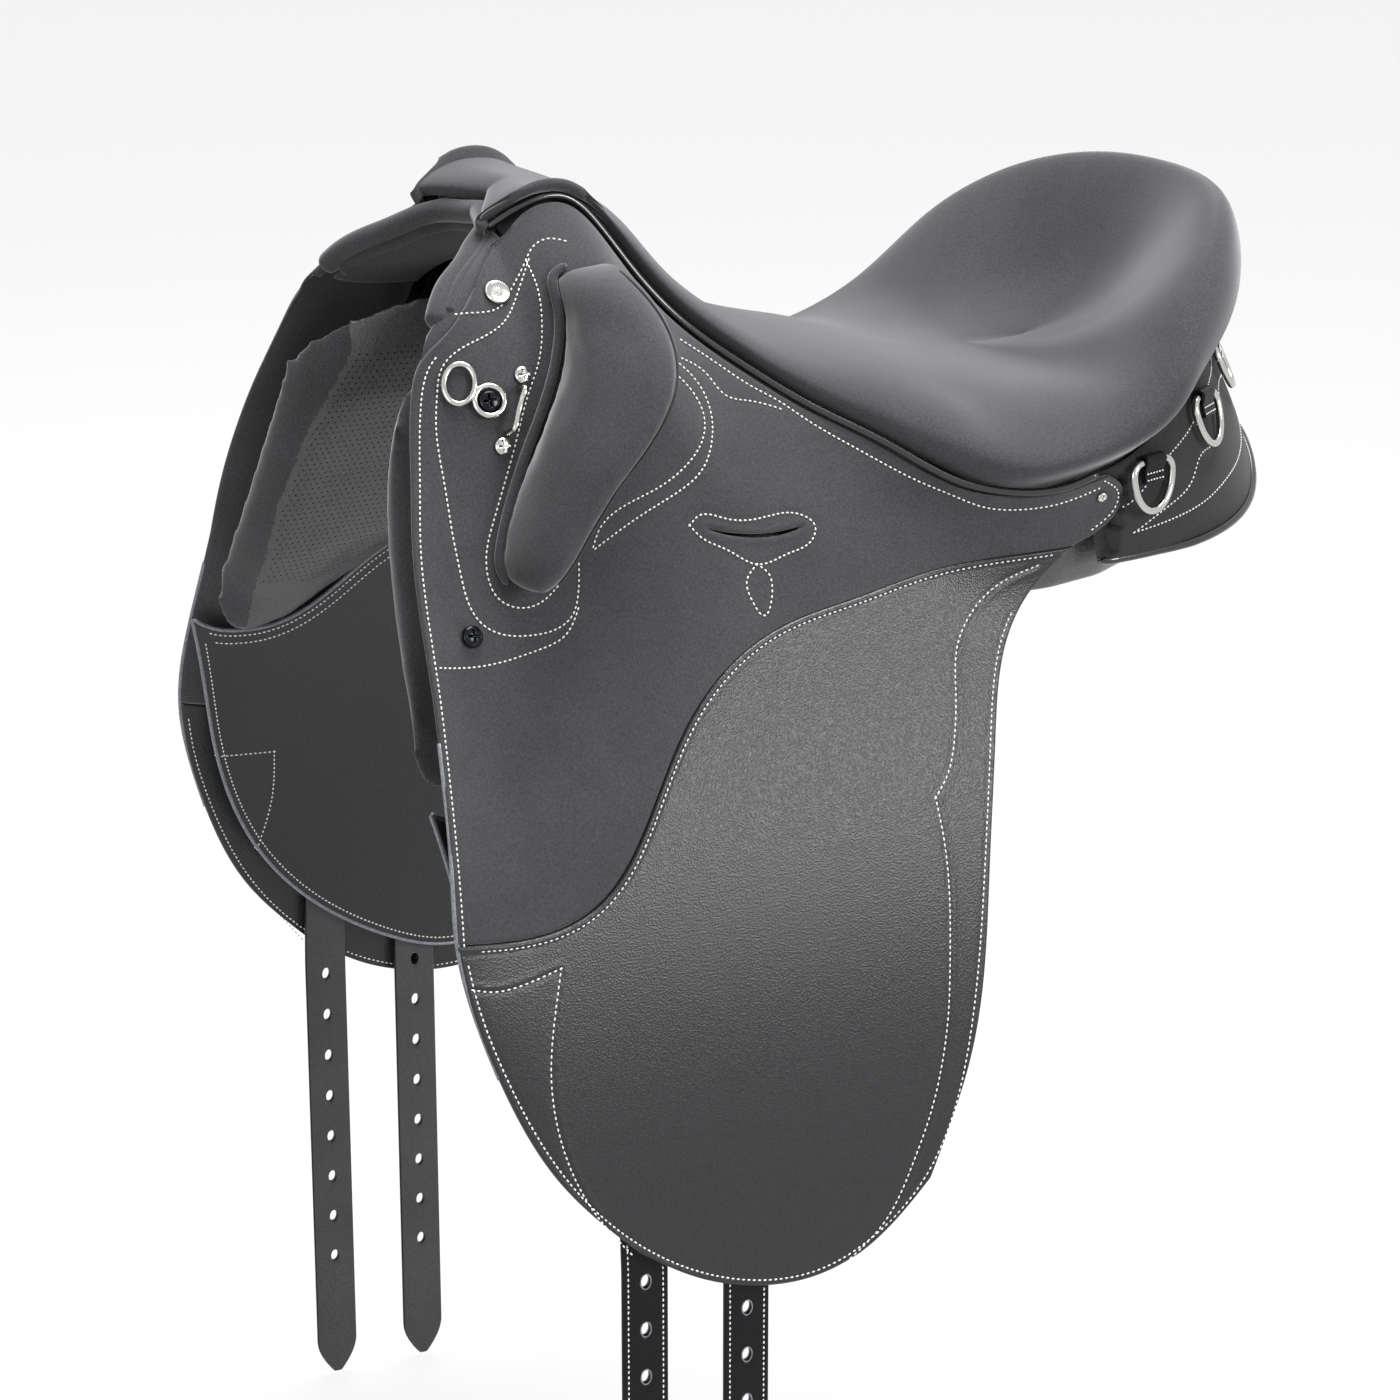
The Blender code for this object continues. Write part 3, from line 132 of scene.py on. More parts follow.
# Rods along the roll: finish, how far behind it and within the arch, radius, sides, points left off at each end
ARCH_RODS = (("arch_cord", "suede", 0.0052, -0.0046, 0.0022, 10, 3),
             # The inner roll takes the darker lining suede: painted shade under the arch
             ("arch_inner_roll", "lining", 0.0035, 0.0072, 0.0034, 14, 4))
LINING_T = 0.002
LINING = ((0.002, 0.0063), (0.009, 0.0092), (0.028, 0.0124), (0.048, 0.0134))
FACING_FOOT, FACING_POWER = (0.167, 0.150), 2.6
FACING_FOOT_Z = ((90, 0.006), (70, 0.008), (50, 0.013), (30, 0.025), (15, 0.040), (0, 0.050))
FACING_T, FACING_SIDE, FACING_REACH = 0.0025, 76, 87
FACING_TUCK, FACING_BELOW, FACING_SWELL = 0.0015, 0.004, 0.003
WIRE_R, DEE_BAR, DEE_DROP, DEE_HEIGHT = 0.0020, 0.030, 0.026, 0.88
DEE_ANGLES = {"side": 74, "middle": 52, "rear": 30}
KEEPER_T, KEEPER_W, KEEPER_TAIL, KEEPER_ROOM, KEEPER_SEAT = 0.0015, 0.015, 0.011, 0.0005, 0.0006

# Knee pad, top to bottom: height, x of its front, width along x, how far it stands out; and its section
KNEE_PAD = ((0.176, -0.170, 0.022, 0.020), (0.170, -0.180, 0.036, 0.038), (0.156, -0.181, 0.043, 0.054),
            (0.138, -0.185, 0.044, 0.066), (0.118, -0.194, 0.042, 0.069), (0.096, -0.207, 0.038, 0.063),
            (0.074, -0.219, 0.034, 0.053), (0.054, -0.228, 0.029, 0.044), (0.041, -0.231, 0.023, 0.035),
            (0.032, -0.228, 0.014, 0.022))
KNEE_SECTION = ((0.0, 0.0), (0.03, 0.30), (0.14, 0.66), (0.40, 0.97), (0.62, 1.03), (0.86, 0.93),
                (0.99, 0.60), (1.03, 0.28), (1.0, 0.0))
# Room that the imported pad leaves, how deep its back sits in the skirt, the share of the stand that is built
# before the stuffing fills it, and where across the pad its seam runs
PAD_GAP, PAD_SUNK, PAD_STAND, PAD_SEAM = 0.0027, 0.0015, 0.97, 0.80
# Its stuffing: cloth pressure, how far a point may move, and frames of the simulation
PAD_PRESSURE, PAD_MOST, STUFFING_FRAMES = 3.0, 0.004, 20
# Face size and smoothing of the forms that are meshed again
PAD_MESH, PANEL_MESH = (0.0028, 14), (0.0023, 22)
# The dent of its seam: depth and width; and its piping: least radius and what the middle adds
SEAM_DENT, SEAM_DENT_W, PAD_CORD, PAD_CORD_SWELL = 0.0014, 0.0028, 0.0006, 0.0019

# Straps and front fittings
STRAP_W, STRAP_X, STRAP_SEAM = 0.025, {"front": -0.198, "rear": -0.142}, 0.003
STRAP_TOP, STRAP_TIP, STRAP_POINT, STRAP_HANG_Z = 0.020, -0.568, 0.022, -0.30
HOLE_PITCH, HOLE_COUNT, HOLE_FIRST, HOLE_W, HOLE_H = 0.0262, 8, 0.078, 0.005, 0.0075
HANGER_FOOT, HANGER_TOP, HANGER_FRONT, HANGER_REAR = 0.000, 0.052, -0.216, -0.129
OVAL_DEE, OVAL_W, OVAL_H, OVAL_WIRE_R, OVAL_LEAN = (-0.237, 0.125), 0.0075, 0.0100, 0.0015, 8
OVAL_SCREW, PANEL_SCREW, REAR_SCREW = (-0.2245, 0.117), (-0.252, 0.012), (0.092, 0.045)
BAR_SCREWS = ((-0.205, 0.127), (-0.221, 0.096))
BADGE, BADGE_R, BADGE_T = (-0.207, 0.163), 0.0065, 0.0016
BLACK_SCREW_R, STEEL_SCREW_R, REAR_SCREW_R = 0.0055, 0.0045, 0.0028
HEAD_H, HEAD_STAND, PANEL_SCREW_STAND, EYE_GAP = 0.0030, 0.0005, 0.0010, 0.0004
ROD_R, ROD_STAND = 0.0016, 0.0090
# Screws: finish, slot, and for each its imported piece, place, radius and how far its head stands out
SCREWS = (("black", "black_steel", (("oval_screw", OVAL_SCREW, BLACK_SCREW_R, HEAD_STAND),
                                    ("panel_screw", PANEL_SCREW, BLACK_SCREW_R, PANEL_SCREW_STAND))),
          ("steel", "steel", (("bar_screw_upper", BAR_SCREWS[0], STEEL_SCREW_R, HEAD_STAND),
                              ("bar_screw_lower", BAR_SCREWS[1], STEEL_SCREW_R, HEAD_STAND),
                              ("rear_screw", REAR_SCREW, REAR_SCREW_R, HEAD_STAND))))
# The badge's raised rim: shares of its radius and thickness
BADGE_SHAPE = ((1.0, 0.0), (1.0, 0.55), (0.96, 0.85), (0.90, 1.0), (0.84, 0.92), (0.80, 0.80), (0.4, 0.82),
               (0.05, 0.84))
# Width of the clouds where suede was stroked, and of the scuffs on leather
STROKE, SCUFF = 0.045, 0.0016

# Lights: place, power and size; the spot that they shine on, the world's light on the saddle, and the floor's
# own white
LIGHTS = (("key", (1.2, -2.5, 1.05), 60, 0.95), ("fill", (-2.4, -1.2, 0.5), 20, 1.4),
          ("top", (0.35, 0.2, 2.6), 152, 1.8), ("back", (0.4, 2.6, 1.4), 14, 2.0))
LIT_SPOT, AMBIENT, FLOOR_WHITE = (-0.05, 0, 0), 0.25, 0.86
# The photo's camera: degrees round and up, distance, what it looks at, focal length in picture widths
VIEW_ANGLES, VIEW_DISTANCE, VIEWED_SPOT = (-25.6, 18.15), 2.162, (-0.06, 0, -0.09)
FOCUS_SHARE, SENSOR = 4000 / 1400, 36

# Sewn lines on the skirt and flap: x, height in millimetres
SEWN_SUEDE = (
    ((-108, 130), (-90, 117), (-74, 105), (-61, 97), (-52, 90), (-25, 72), (2, 56), (15, 50), (29, 44),
     (47, 42), (67, 44), (89, 50)),
    ((-112, 123), (-99, 114), (-92, 104), (-77, 99), (-62, 94)),
    ((-128, 49), (-122, 53), (-108, 50), (-90, 48), (-64, 46), (-59, 41), (-62, 35), (-77, 30), (-95, 27),
     (-109, 35), (-123, 43), (-128, 49)),
    ((-95, 27), (-102, 20), (-101, 11), (-96, 3), (-89, 14), (-90, 23), (-95, 27)),
    ((-117, 123), (-107, 112), (-104, 98), (-108, 86), (-117, 74), (-132, 65), (-152, 57), (-180, 44)),
    ((-120, 118), (-113, 110), (-109, 99), (-113, 88), (-124, 78), (-140, 69), (-161, 62), (-176, 53),
     (-181, 45)),
    ((-231, 156), (-227, 156), (-208, 157), (-200, 163), (-194, 170), (-189, 177), (-184, 183),
     (-178, 186), (-169, 185)),
    ((-188, 177), (-194, 167), (-199, 159), (-209, 150), (-224, 144), (-236, 139), (-243, 133), (-248, 121),
     (-252, 105), (-253, 85), (-253, 58), (-252, 39), (-249, 23), (-244, 16), (-235, 11), (-221, 9),
     (-208, 10), (-198, 15), (-193, 24), (-190, 38)),
    ((-189, 176), (-188, 164), (-190, 149), (-195, 133), (-204, 118), (-213, 99), (-222, 80), (-231, 62),
     (-237, 48), (-238, 37), (-235, 28), (-225, 22), (-213, 23), (-203, 29)),
    ((-272, 2), (-256, -1), (-238, -1), (-219, 2), (-203, 7), (-194, 18)),
)
SEWN_LEATHER = (
    ((-20, -91), (-19, -109), (-20, -136), (-24, -170), (-27, -193), (-32, -217), (-40, -243), (-52, -270),
     (-69, -298), (-88, -313)),
    ((58, 11), (33, 2), (15, -13), (7, -25), (2, -44), (-4, -66), (-11, -81), (-20, -91)),
    ((-281, -142), (-270, -145), (-252, -144), (-234, -140)),
    ((-234, -140), (-240, -161), (-245, -187), (-244, -215), (-236, -244), (-225, -265), (-209, -286)),
)
SEWN_SWEAT = (
    ((-269, -152), (-235, -154)),
    ((-235, -154), (-235, -186), (-243, -216)),
)
# Sewn lines of the facing: degrees round the rear, share of its height down from the top
SEWN_FACING = (
    ((83, 0.43), (79, 0.37), (74, 0.27), (67.5, 0.22), (60, 0.21), (52.5, 0.18), (40, 0.17), (20, 0.17),
     (0, 0.17)),
    ((81, 0.72), (76, 0.63), (68.5, 0.57), (64, 0.52), (60, 0.43), (55, 0.43), (50, 0.455), (46, 0.41),
     (40, 0.30), (24, 0.40), (12, 0.37), (0, 0.36)),
    ((81, 0.72), (73, 0.72), (63.5, 0.73), (50.5, 0.71), (44.5, 0.71), (20, 0.70), (0, 0.70)),
)
# Leather face of the panel, towards the horse: x, height
FACE_TOP = ((-0.232, 0.110), (-0.190, 0.112), (-0.140, 0.104))
FACE_FRONT = ((-0.232, 0.110), (-0.252, 0.070), (-0.262, 0.020), (-0.264, -0.030))
FACE_FOOT = ((-0.264, -0.030), (-0.225, -0.035), (-0.180, -0.012), (-0.120, 0.004))
FACE_REAR = ((-0.140, 0.104), (-0.128, 0.070), (-0.120, 0.036), (-0.120, 0.004))
# The panel's suede: height and half-width of its border, its rear end, and its band in front of the leather
SUEDE_BORDER = ((-0.068, 0.159), (-0.050, 0.153), (0.045, 0.098), (0.100, 0.071))
SUEDE_REAR, SUEDE_BAND = -0.200, 0.003


def linear(code):
    """An sRGB hex colour as the linear colour that Blender's sockets take."""
    parts = [int(code[i:i + 2], 16) / 255 for i in (0, 2, 4)]
    return tuple(p / 12.92 if p <= 0.04045 else ((p + 0.055) / 1.055) ** 2.4 for p in parts)


def size_property(label, meaning, default, least):
    return bpy.props.FloatProperty(name=label, description=meaning, default=default, min=least, unit="LENGTH")


def colour_property(label, meaning, code):
    return bpy.props.FloatVectorProperty(name=label, description=meaning, subtype="COLOR", min=0, max=1,
                                         default=linear(code))


class SaddleSizes(bpy.types.PropertyGroup):
    """Sizes of what is laid on the saddle"""
    stitch_pitch: size_property("Stitch pitch", "From one stitch to the next", 0.0027, 0.001)
    stitch_length: size_property("Stitch length", "Thread that shows in each stitch", 0.0018, 0.0005)
    thread_width: size_property("Thread width", "Thickness of the sewing thread", 0.0009, 0.0002)
    hole_pitch: size_property("Perforation pitch", "Between the panel's air holes", 0.0036, 0.001)
    hole_width: size_property("Perforation width", "Width of one air hole", 0.0010, 0.0002)
    sewn_dent: size_property("Sewn dent", "How far a row of stitches draws in suede", 0.0005, 0.0)


class SaddleFinish(bpy.types.PropertyGroup):
    """Colours of the saddle's finishes"""
    suede: colour_property("Suede", "Napped synthetic suede, brushed dark", "3A3A3C")
    leather: colour_property("Leather", "Smooth grained leather", "202123")
    piping: colour_property("Piping", "Glossy piping", "131315")
    thread: colour_property("Thread", "White sewing thread", "E6E5E1")
    steel: colour_property("Steel", "Polished stainless steel", "BDBCB8")


# Curves and surfaces

def spline(rows, at):
    """Natural cubic through rows of (key, value, ...), read at the keys in at; straight beyond its ends."""
    rows = np.array(sorted(rows, key=lambda row: row[0]), float)
    keys, values = rows[:, 0], rows[:, 1:]
    count = len(keys)
    gaps = np.diff(keys)
    system = np.eye(count)
    bends = np.zeros_like(values)
    for i in range(1, count - 1):
        system[i, i - 1:i + 2] = gaps[i - 1], 2 * (gaps[i - 1] + gaps[i]), gaps[i]
        bends[i] = 6 * ((values[i + 1] - values[i]) / gaps[i] - (values[i] - values[i - 1]) / gaps[i - 1])
    second = np.linalg.solve(system, bends)
    at = np.asarray(at, float)
    flat = at.reshape(-1)
    i = np.clip(np.searchsorted(keys, flat) - 1, 0, count - 2)
    step, gap = (flat - keys[i])[:, None], gaps[i][:, None]
    inside = np.clip(step, 0, gap)
    slope = (values[i + 1] - values[i]) / gap - gap * (2 * second[i] + second[i + 1]) / 6
    out = values[i] + slope * inside + second[i] / 2 * inside ** 2
    out = out + (second[i + 1] - second[i]) / (6 * gap) * inside ** 3
    end_slope = slope + second[i] * inside + (second[i + 1] - second[i]) / (2 * gap) * inside ** 2
    out = out + end_slope * (step - inside)
    return out.reshape(at.shape + values.shape[1:])


def curve_through(points, count):
    """A smooth curve through the points, cut into count points at even steps along it."""
    points = np.array(points, float)
    lengths = np.r_[0, np.cumsum(np.linalg.norm(np.diff(points, axis=0), axis=1))]
    fine = spline(np.c_[lengths, points], np.linspace(0, lengths[-1], 600))
    run = np.r_[0, np.cumsum(np.linalg.norm(np.diff(fine, axis=0), axis=1))]
    even = np.linspace(0, run[-1], count)
    return np.stack([np.interp(even, run, fine[:, k]) for k in range(points.shape[1])], 1)


def at_shares(points, shares):
    """The curve through the points, read at shares of its length."""
    fine = curve_through(points, 800)
    run = np.linspace(0, 1, len(fine))
    return np.stack([np.interp(shares, run, fine[:, k]) for k in range(fine.shape[1])], 1)


def length_of(points):
    return np.linalg.norm(np.diff(np.array(points, float), axis=0), axis=1).sum()


def sideways(path):
    """Unit vectors square to a path in a plane, on its left."""
    along = np.gradient(path, axis=0)
    along /= np.linalg.norm(along, axis=1)[:, None]
    return np.c_[-along[:, 1], along[:, 0]]


def shifted(path, distance):
    """The path in the x-z plane, moved sideways by distance, upwards for a path that runs to +x."""
    path = np.array(path, float)
    return path + distance * sideways(path)


def side_reach(x, z):
    """Half-width of the saddle's outer side at x and height z."""
    x, z = np.broadcast_arrays(np.asarray(x, float), np.asarray(z, float))
    hang = spline(HANG, z)[..., 0]
    welt = spline(WELT, np.clip(x, WELT[0][0], WELT[-1][0]))
    drawn = welt[..., 0] - spline(HANG, welt[..., 1])[..., 0]
    fade = (1 - np.clip((welt[..., 1] - z) / WELT_FADE, 0, 1)) ** 2
    edge = spline(FRONT_EDGE, z)
    depth = np.clip(edge[..., 1], *EDGE_RANGE)
    strip = np.clip((edge[..., 0] + EDGE_FADE - x) / EDGE_FADE, 0, EDGE_MOST)
    return hang + drawn * fade - depth * strip ** 2


def laid(flat, side, depth=0.0):
    """Points (x, height) laid on the side, depth below its surface."""
    flat = np.asarray(flat, float)
    return np.stack([flat[..., 0], side * (side_reach(flat[..., 0], flat[..., 1]) - depth), flat[..., 1]], -1)


def frame_at(place, out, up=(0, 0, 1)):
    """A frame at place whose Z is out and whose Y leans towards up."""
    out = Vector(out).normalized()
    across = Vector(up).cross(out).normalized()
    return Matrix.Translation(place) @ Matrix((across, out.cross(across), out)).transposed().to_4x4()


def side_frame(x, z, side, depth=0.0):
    """A frame on the side surface: Z points out of it, Y up along it."""
    step = 0.001
    slope_x = float(side_reach(x + step, z) - side_reach(x - step, z)) / (2 * step)
    slope_z = float(side_reach(x, z + step) - side_reach(x, z - step)) / (2 * step)
    out = Vector((-slope_x, side, -slope_z)).normalized()
    return frame_at(Vector(laid((x, z), side)) - depth * out, out)


def patch(top, foot, front, rear, us, vs):
    """A grid of (x, z) points in four boundary curves; top and foot run to the rear, front and rear down."""
    top, foot, front, rear = (at_shares(curve, shares)
                              for curve, shares in ((top, us), (foot, us), (front, vs), (rear, vs)))
    front[0], front[-1], rear[0], rear[-1] = top[0], foot[0], top[-1], foot[-1]
    u, v = us[None, :, None], vs[:, None, None]
    across = (1 - v) * top[None] + v * foot[None]
    down = (1 - u) * front[:, None] + u * rear[:, None]
    corners = (1 - v) * ((1 - u) * top[0] + u * top[-1]) + v * ((1 - u) * foot[0] + u * foot[-1])
    return across + down - corners


def fine_ends(length, count, radius, first=True, last=True):
    """Shares along a length that lie close together where an edge of that radius is rounded off."""
    near = radius / length * np.array([0, 0.05, 0.2, 0.5, 1.0])
    middle = np.linspace(near[-1] * 1.6 if first else 0, 1 - near[-1] * 1.6 if last else 1, count)
    return np.r_[near if first else [], middle, (1 - near[::-1]) if last else []]


def rounded(distance, radius):
    """Share of the full half-thickness that a rounded edge has at a distance from its rim."""
    return np.sqrt(np.clip(1 - (1 - np.clip(distance / radius, 0, 1)) ** 2, 0, 1))


def rim_share(shares, length, radius):
    """The same at shares of a length that is rounded off at both ends."""
    return rounded(np.minimum(shares, 1 - shares) * length, radius)


def rim_shares(rows, height, columns, width, radius):
    """The same over a grid that is rounded off all round."""
    return rim_share(rows, height, radius)[:, None] * rim_share(columns, width, radius)[None]


def full_turn(count):
    """Angles at even steps once round."""
    return np.linspace(0, 2 * math.pi, count, endpoint=False)


def bell(distance, width):
    """One on a line, falling off beside it."""
    return np.exp(-(distance / width) ** 2)


def nearest(flat, path):
    """Distance of each (x, z) point of a grid from a path."""
    path = curve_through(path, max(20, int(length_of(path) / 0.0012)))
    points = flat.reshape(-1, 2)
    best = np.full(len(points), 9.0)
    for start in range(0, len(points), 4000):
        part = points[start:start + 4000]
        best[start:start + 4000] = np.sqrt(((part[:, None] - path[None]) ** 2).sum(2).min(1))
    return best.reshape(flat.shape[:-1])


def mm(points):
    return np.array(points, float) / 1000


def seat_net():
    """Five points from edge to centreline at each station of the seat."""
    stations = []
    for edge_x, crown_x, crown_z in SEAT_WAIST:
        width, height = spline(WELT, edge_x)
        slope = (spline(WELT, edge_x + 0.001)[1] - spline(WELT, edge_x - 0.001)[1]) / 0.002
        clear = (WELT_R + WELT_ROOM) / math.hypot(1, slope)
        edge_x, height = edge_x - clear * slope, height + clear
        swell = float(spline(WAIST_SWELL, edge_x)[0])
        shares = ((1.0, 0.0), (0.985, 0.30), (0.80, 0.68), (0.43, 0.93), (0.0, 1.0))
        stations.append([(crown_x + (edge_x - crown_x) * across, width * across + (swell if i == 1 else 0),
                          height + (crown_z - height) * up) for i, (across, up) in enumerate(shares)])
    for angle in CANTLE_ANGLES:
        edge_z, rim_z = float(spline(CANTLE_EDGE_Z, angle)[0]), float(spline(CANTLE_RIM_Z, angle)[0])
        edge, bulge, rim = (oval(size, angle) for size in (CANTLE_EDGE, CANTLE_BULGE, CANTLE_RIM))
        centre = (DISH_X - (DISH_X - 0.088) * math.sin(math.radians(angle)) ** 2, 0.0)
        dish = [centre[k] + 0.56 * (rim[k] - centre[k]) for k in (0, 1)]
        stations.append([(*edge, edge_z), (*bulge, edge_z + 0.45 * (rim_z - edge_z)), (*rim, rim_z),
                         (*dish, DISH_Z + 0.33 * (rim_z - DISH_Z)), (*centre, DISH_Z)])
    return np.array(stations)


def oval(size, angle, power=2.0):
    """A point on the (super)oval about CANTLE_X: x and half-width, at degrees from the rear."""
    turn = np.radians(np.asarray(angle, float))
    return (CANTLE_X + size[0] * np.abs(np.cos(turn)) ** (2 / power),
            size[1] * np.abs(np.sin(turn)) ** (2 / power))


def resample(net, down_shares, across_shares):
    """The net as a smooth grid, read at shares of its rows and columns."""
    count, width = net.shape[:2]
    down = spline(np.c_[np.arange(count), net.reshape(count, -1)], down_shares * (count - 1))
    over = down.reshape(-1, width, 3).transpose(1, 0, 2)
    across = spline(np.c_[np.arange(width), over.reshape(width, -1)], across_shares * (width - 1))
    half = across.reshape(len(across_shares), -1, 3).transpose(1, 0, 2)
    half[:, -1, 1] = 0
    half[-1, :, 1] = 0
    return np.concatenate([half * np.array([1, -1, 1]), half[:, -2::-1]], axis=1)


def grid_normals(grid, outside):
    """Unit normals of a grid, pointing to the side of the point outside."""
    normals = np.cross(np.gradient(grid, axis=0), np.gradient(grid, axis=1))
    normals /= np.maximum(np.linalg.norm(normals, axis=2), 1e-12)[..., None]
    middle = grid.shape[0] // 2, grid.shape[1] // 2
    return -normals if np.dot(normals[middle], np.array(outside) - grid[middle]) < 0 else normals


def evened(field, times):
    """A grid of values with each value drawn towards its neighbours."""
    for _ in range(times):
        wide = np.pad(field, ((1, 1), (1, 1), (0, 0)), mode="edge")
        field = (wide[1:-1, :-2] + wide[1:-1, 2:] + wide[:-2, 1:-1] + wide[2:, 1:-1] + 2 * field) / 6
    return field


def even_normals(grid, times):
    """Upward unit normals of a grid, evened a number of times."""
    normals = evened(grid_normals(grid, (0, 0, 1)), times)
    return normals / np.linalg.norm(normals, axis=2)[..., None]


# Meshes

def add_object(name, data):
    made = bpy.data.objects.new(name, data)
    bpy.context.scene.collection.objects.link(made)
    return made


def piece(name, vertices, faces, material, smooth=True):
    """A closed mesh object with its faces pointing out."""
    shape = bmesh.new()
    points = [shape.verts.new(v) for v in np.asarray(vertices, float).reshape(-1, 3).tolist()]
    for face in faces:
        if len(set(face)) > 2:
            shape.faces.new([points[i] for i in face])
    bmesh.ops.remove_doubles(shape, verts=shape.verts, dist=1e-6)
    bmesh.ops.recalc_face_normals(shape, faces=shape.faces)
    mesh = bpy.data.meshes.new(name)
    shape.to_mesh(mesh)
    shape.free()
    mesh.polygons.foreach_set("use_smooth", [smooth] * len(mesh.polygons))
    mesh.materials.append(material)
    return add_object(name, mesh)


def grid_faces(rows, columns, start=0, closed=False):
    """Quads over a grid of vertices numbered row by row; closed joins the last column to the first."""
    last = columns if closed else columns - 1
    return [(start + r * columns + c, start + r * columns + (c + 1) % columns,
             start + (r + 1) * columns + (c + 1) % columns, start + (r + 1) * columns + c)
            for r in range(rows - 1) for c in range(last)]


def shell(name, outer, inner, material, folded=False):
    """A closed solid between two grids, with walls where their rims stand apart."""
    rows, columns = outer.shape[:2]
    size = rows * columns
    faces = grid_faces(rows, columns) + grid_faces(rows, columns, size)
    rim = [r * columns for r in range(rows - 1, 0, -1)] + list(range(columns))
    rim += [r * columns + columns - 1 for r in range(1, rows)]
    if not folded:
        rim += [(rows - 1) * columns + c for c in range(columns - 2, -1, -1)]
    joined = np.linalg.norm(outer - inner, axis=-1).reshape(-1)[rim].max() < 1e-7
    if not joined:
        faces += [(a, b, b + size, a + size) for a, b in zip(rim, rim[1:])]
    return piece(name, np.r_[outer.reshape(-1, 3), inner.reshape(-1, 3)], faces, material)


def side_sheet(name, flat, side, depth, thickness, edge, material, relief=None):
    """A sheet over a grid of (x, z) on the side, its edge rounded off; relief lifts its outer face."""
    middle = laid(flat, side, depth + thickness / 2)
    half = thickness / 2 * edge
    rise = half if relief is None else half + relief * edge
    out = np.array([0, side, 0])
    return shell(name, middle + rise[..., None] * out, middle - half[..., None] * out, material)


def tube(name, path, radius, sides, material, closed=False):
    """A round rod along a path; a closed path makes a ring."""
    path = [Vector(p) for p in path]
    count = len(path)
    radius = np.broadcast_to(radius, count).tolist()
    rings = []
    across = None
    for i, point in enumerate(path):
        ahead = path[(i + 1) % count] if closed else path[min(i + 1, count - 1)]
        along = (ahead - path[i - 1 if closed else max(i - 1, 0)]).normalized()
        across = along.orthogonal() if across is None else across - across.dot(along) * along
        across.normalize()
        lift = along.cross(across)
        rings.append([point + radius[i] * (math.cos(a) * across + math.sin(a) * lift)
                      for a in full_turn(sides)])
    faces = grid_faces(count, sides, closed=True)
    if closed:
        match = min(range(sides), key=lambda k: (rings[-1][0] - rings[0][k]).length)
        first = (count - 1) * sides
        faces += [(first + k, first + (k + 1) % sides, (match + k + 1) % sides, (match + k) % sides)
                  for k in range(sides)]
    else:
        faces += [tuple(range(sides)), tuple(range((count - 1) * sides, count * sides))]
    return piece(name, np.array(rings), faces, material)


def lathed(name, profile, sides, place, material):
    """A solid turned about a frame's Z from a profile of (radius, height)."""
    rings = [[tuple(place @ Vector((radius * math.cos(a), radius * math.sin(a), height)))
              for a in full_turn(sides)] for radius, height in profile]
    ends = [tuple(range(first * sides, (first + 1) * sides)) for first in (0, len(rings) - 1)]
    return piece(name, np.array(rings), grid_faces(len(rings), sides, closed=True) + ends, material)


def joined(name, parts):
    """Several plain mesh objects made one."""
    shape = bmesh.new()
    materials = []
    for part in parts:
        for m in part.data.materials:
            if m not in materials:
                materials.append(m)
        start = len(shape.faces)
        shape.from_mesh(part.data)
        shape.faces.ensure_lookup_table()
        for face in shape.faces[start:]:
            face.material_index = materials.index(part.data.materials[face.material_index])
    mesh = bpy.data.meshes.new(name)
    shape.to_mesh(mesh)
    shape.free()
    for m in materials:
        mesh.materials.append(m)
    for part in parts:
        bpy.data.objects.remove(part)
    return add_object(name, mesh)


def evaluated(made):
    """A new mesh of what the object's modifiers make of it."""
    graph = bpy.context.evaluated_depsgraph_get()
    return bpy.data.meshes.new_from_object(made.evaluated_get(graph), depsgraph=graph)


def settled(made):
    """The object with its modifiers made part of its mesh."""
    mesh = evaluated(made)
    made.modifiers.clear()
    made.data = mesh
    return made


def cut(made, tool, operation="DIFFERENCE"):
    """Cuts the tool's shape out of the object, or welds it on with UNION."""
    step = made.modifiers.new("cut", "BOOLEAN")
    step.operation, step.solver, step.object = operation, "EXACT", tool
    settled(made)
    bpy.data.objects.remove(tool)
    return made


def prism(outline, frame_matrix, low, high):
    """A cutting tool: an outline in a frame's plane, pulled from low to high."""
    count = len(outline)
    points = [frame_matrix @ Vector((a, b, depth)) for depth in (low, high) for a, b in outline]
    faces = grid_faces(2, count, closed=True) + [tuple(range(count)), tuple(range(count, 2 * count))]
    return piece("tool", [tuple(p) for p in points], faces, None)


# Node trees

def add(tree, kind, settings=None, **links):
    """Adds a node; settings are its own values, links its inputs by name, or by number after an n."""
    made = tree.nodes.new(kind)
    for name, value in (settings or {}).items():
        setattr(made, name, value)
    for name, value in links.items():
        key = int(name[1:]) if name[0] == "n" and name[1:].isdigit() else name.replace("_", " ")
        if isinstance(value, bpy.types.NodeSocket):
            tree.links.new(value, made.inputs[key])
        else:
            made.inputs[key].default_value = value
    return made


def material(name, **sockets):
    """A material's tree and its shader, with constants set on the shader's own sockets."""
    made = bpy.data.materials.new(name)
    made.use_nodes = True
    shader = made.node_tree.nodes["Principled BSDF"]
    for key, value in sockets.items():
        shader.inputs[key.replace("_", " ")].default_value = value
    return made, made.node_tree, shader


def scaled(colour, factor):
    return tuple(min(1.0, c * factor) for c in colour)


def ranged(tree, source, low, high, start=0.0, end=1.0):
    """A value from start to end, moved on to low to high."""
    return add(tree, "ShaderNodeMapRange", n0=source, n1=start, n2=end, n3=low, n4=high).outputs[0]


def noise(tree, width, **rest):
    """Noise with spots of that width, fixed to the object."""
    place = add(tree, "ShaderNodeTexCoord").outputs["Object"]
    return add(tree, "ShaderNodeTexNoise", n0=place, Scale=1 / width, **rest).outputs["Fac"]


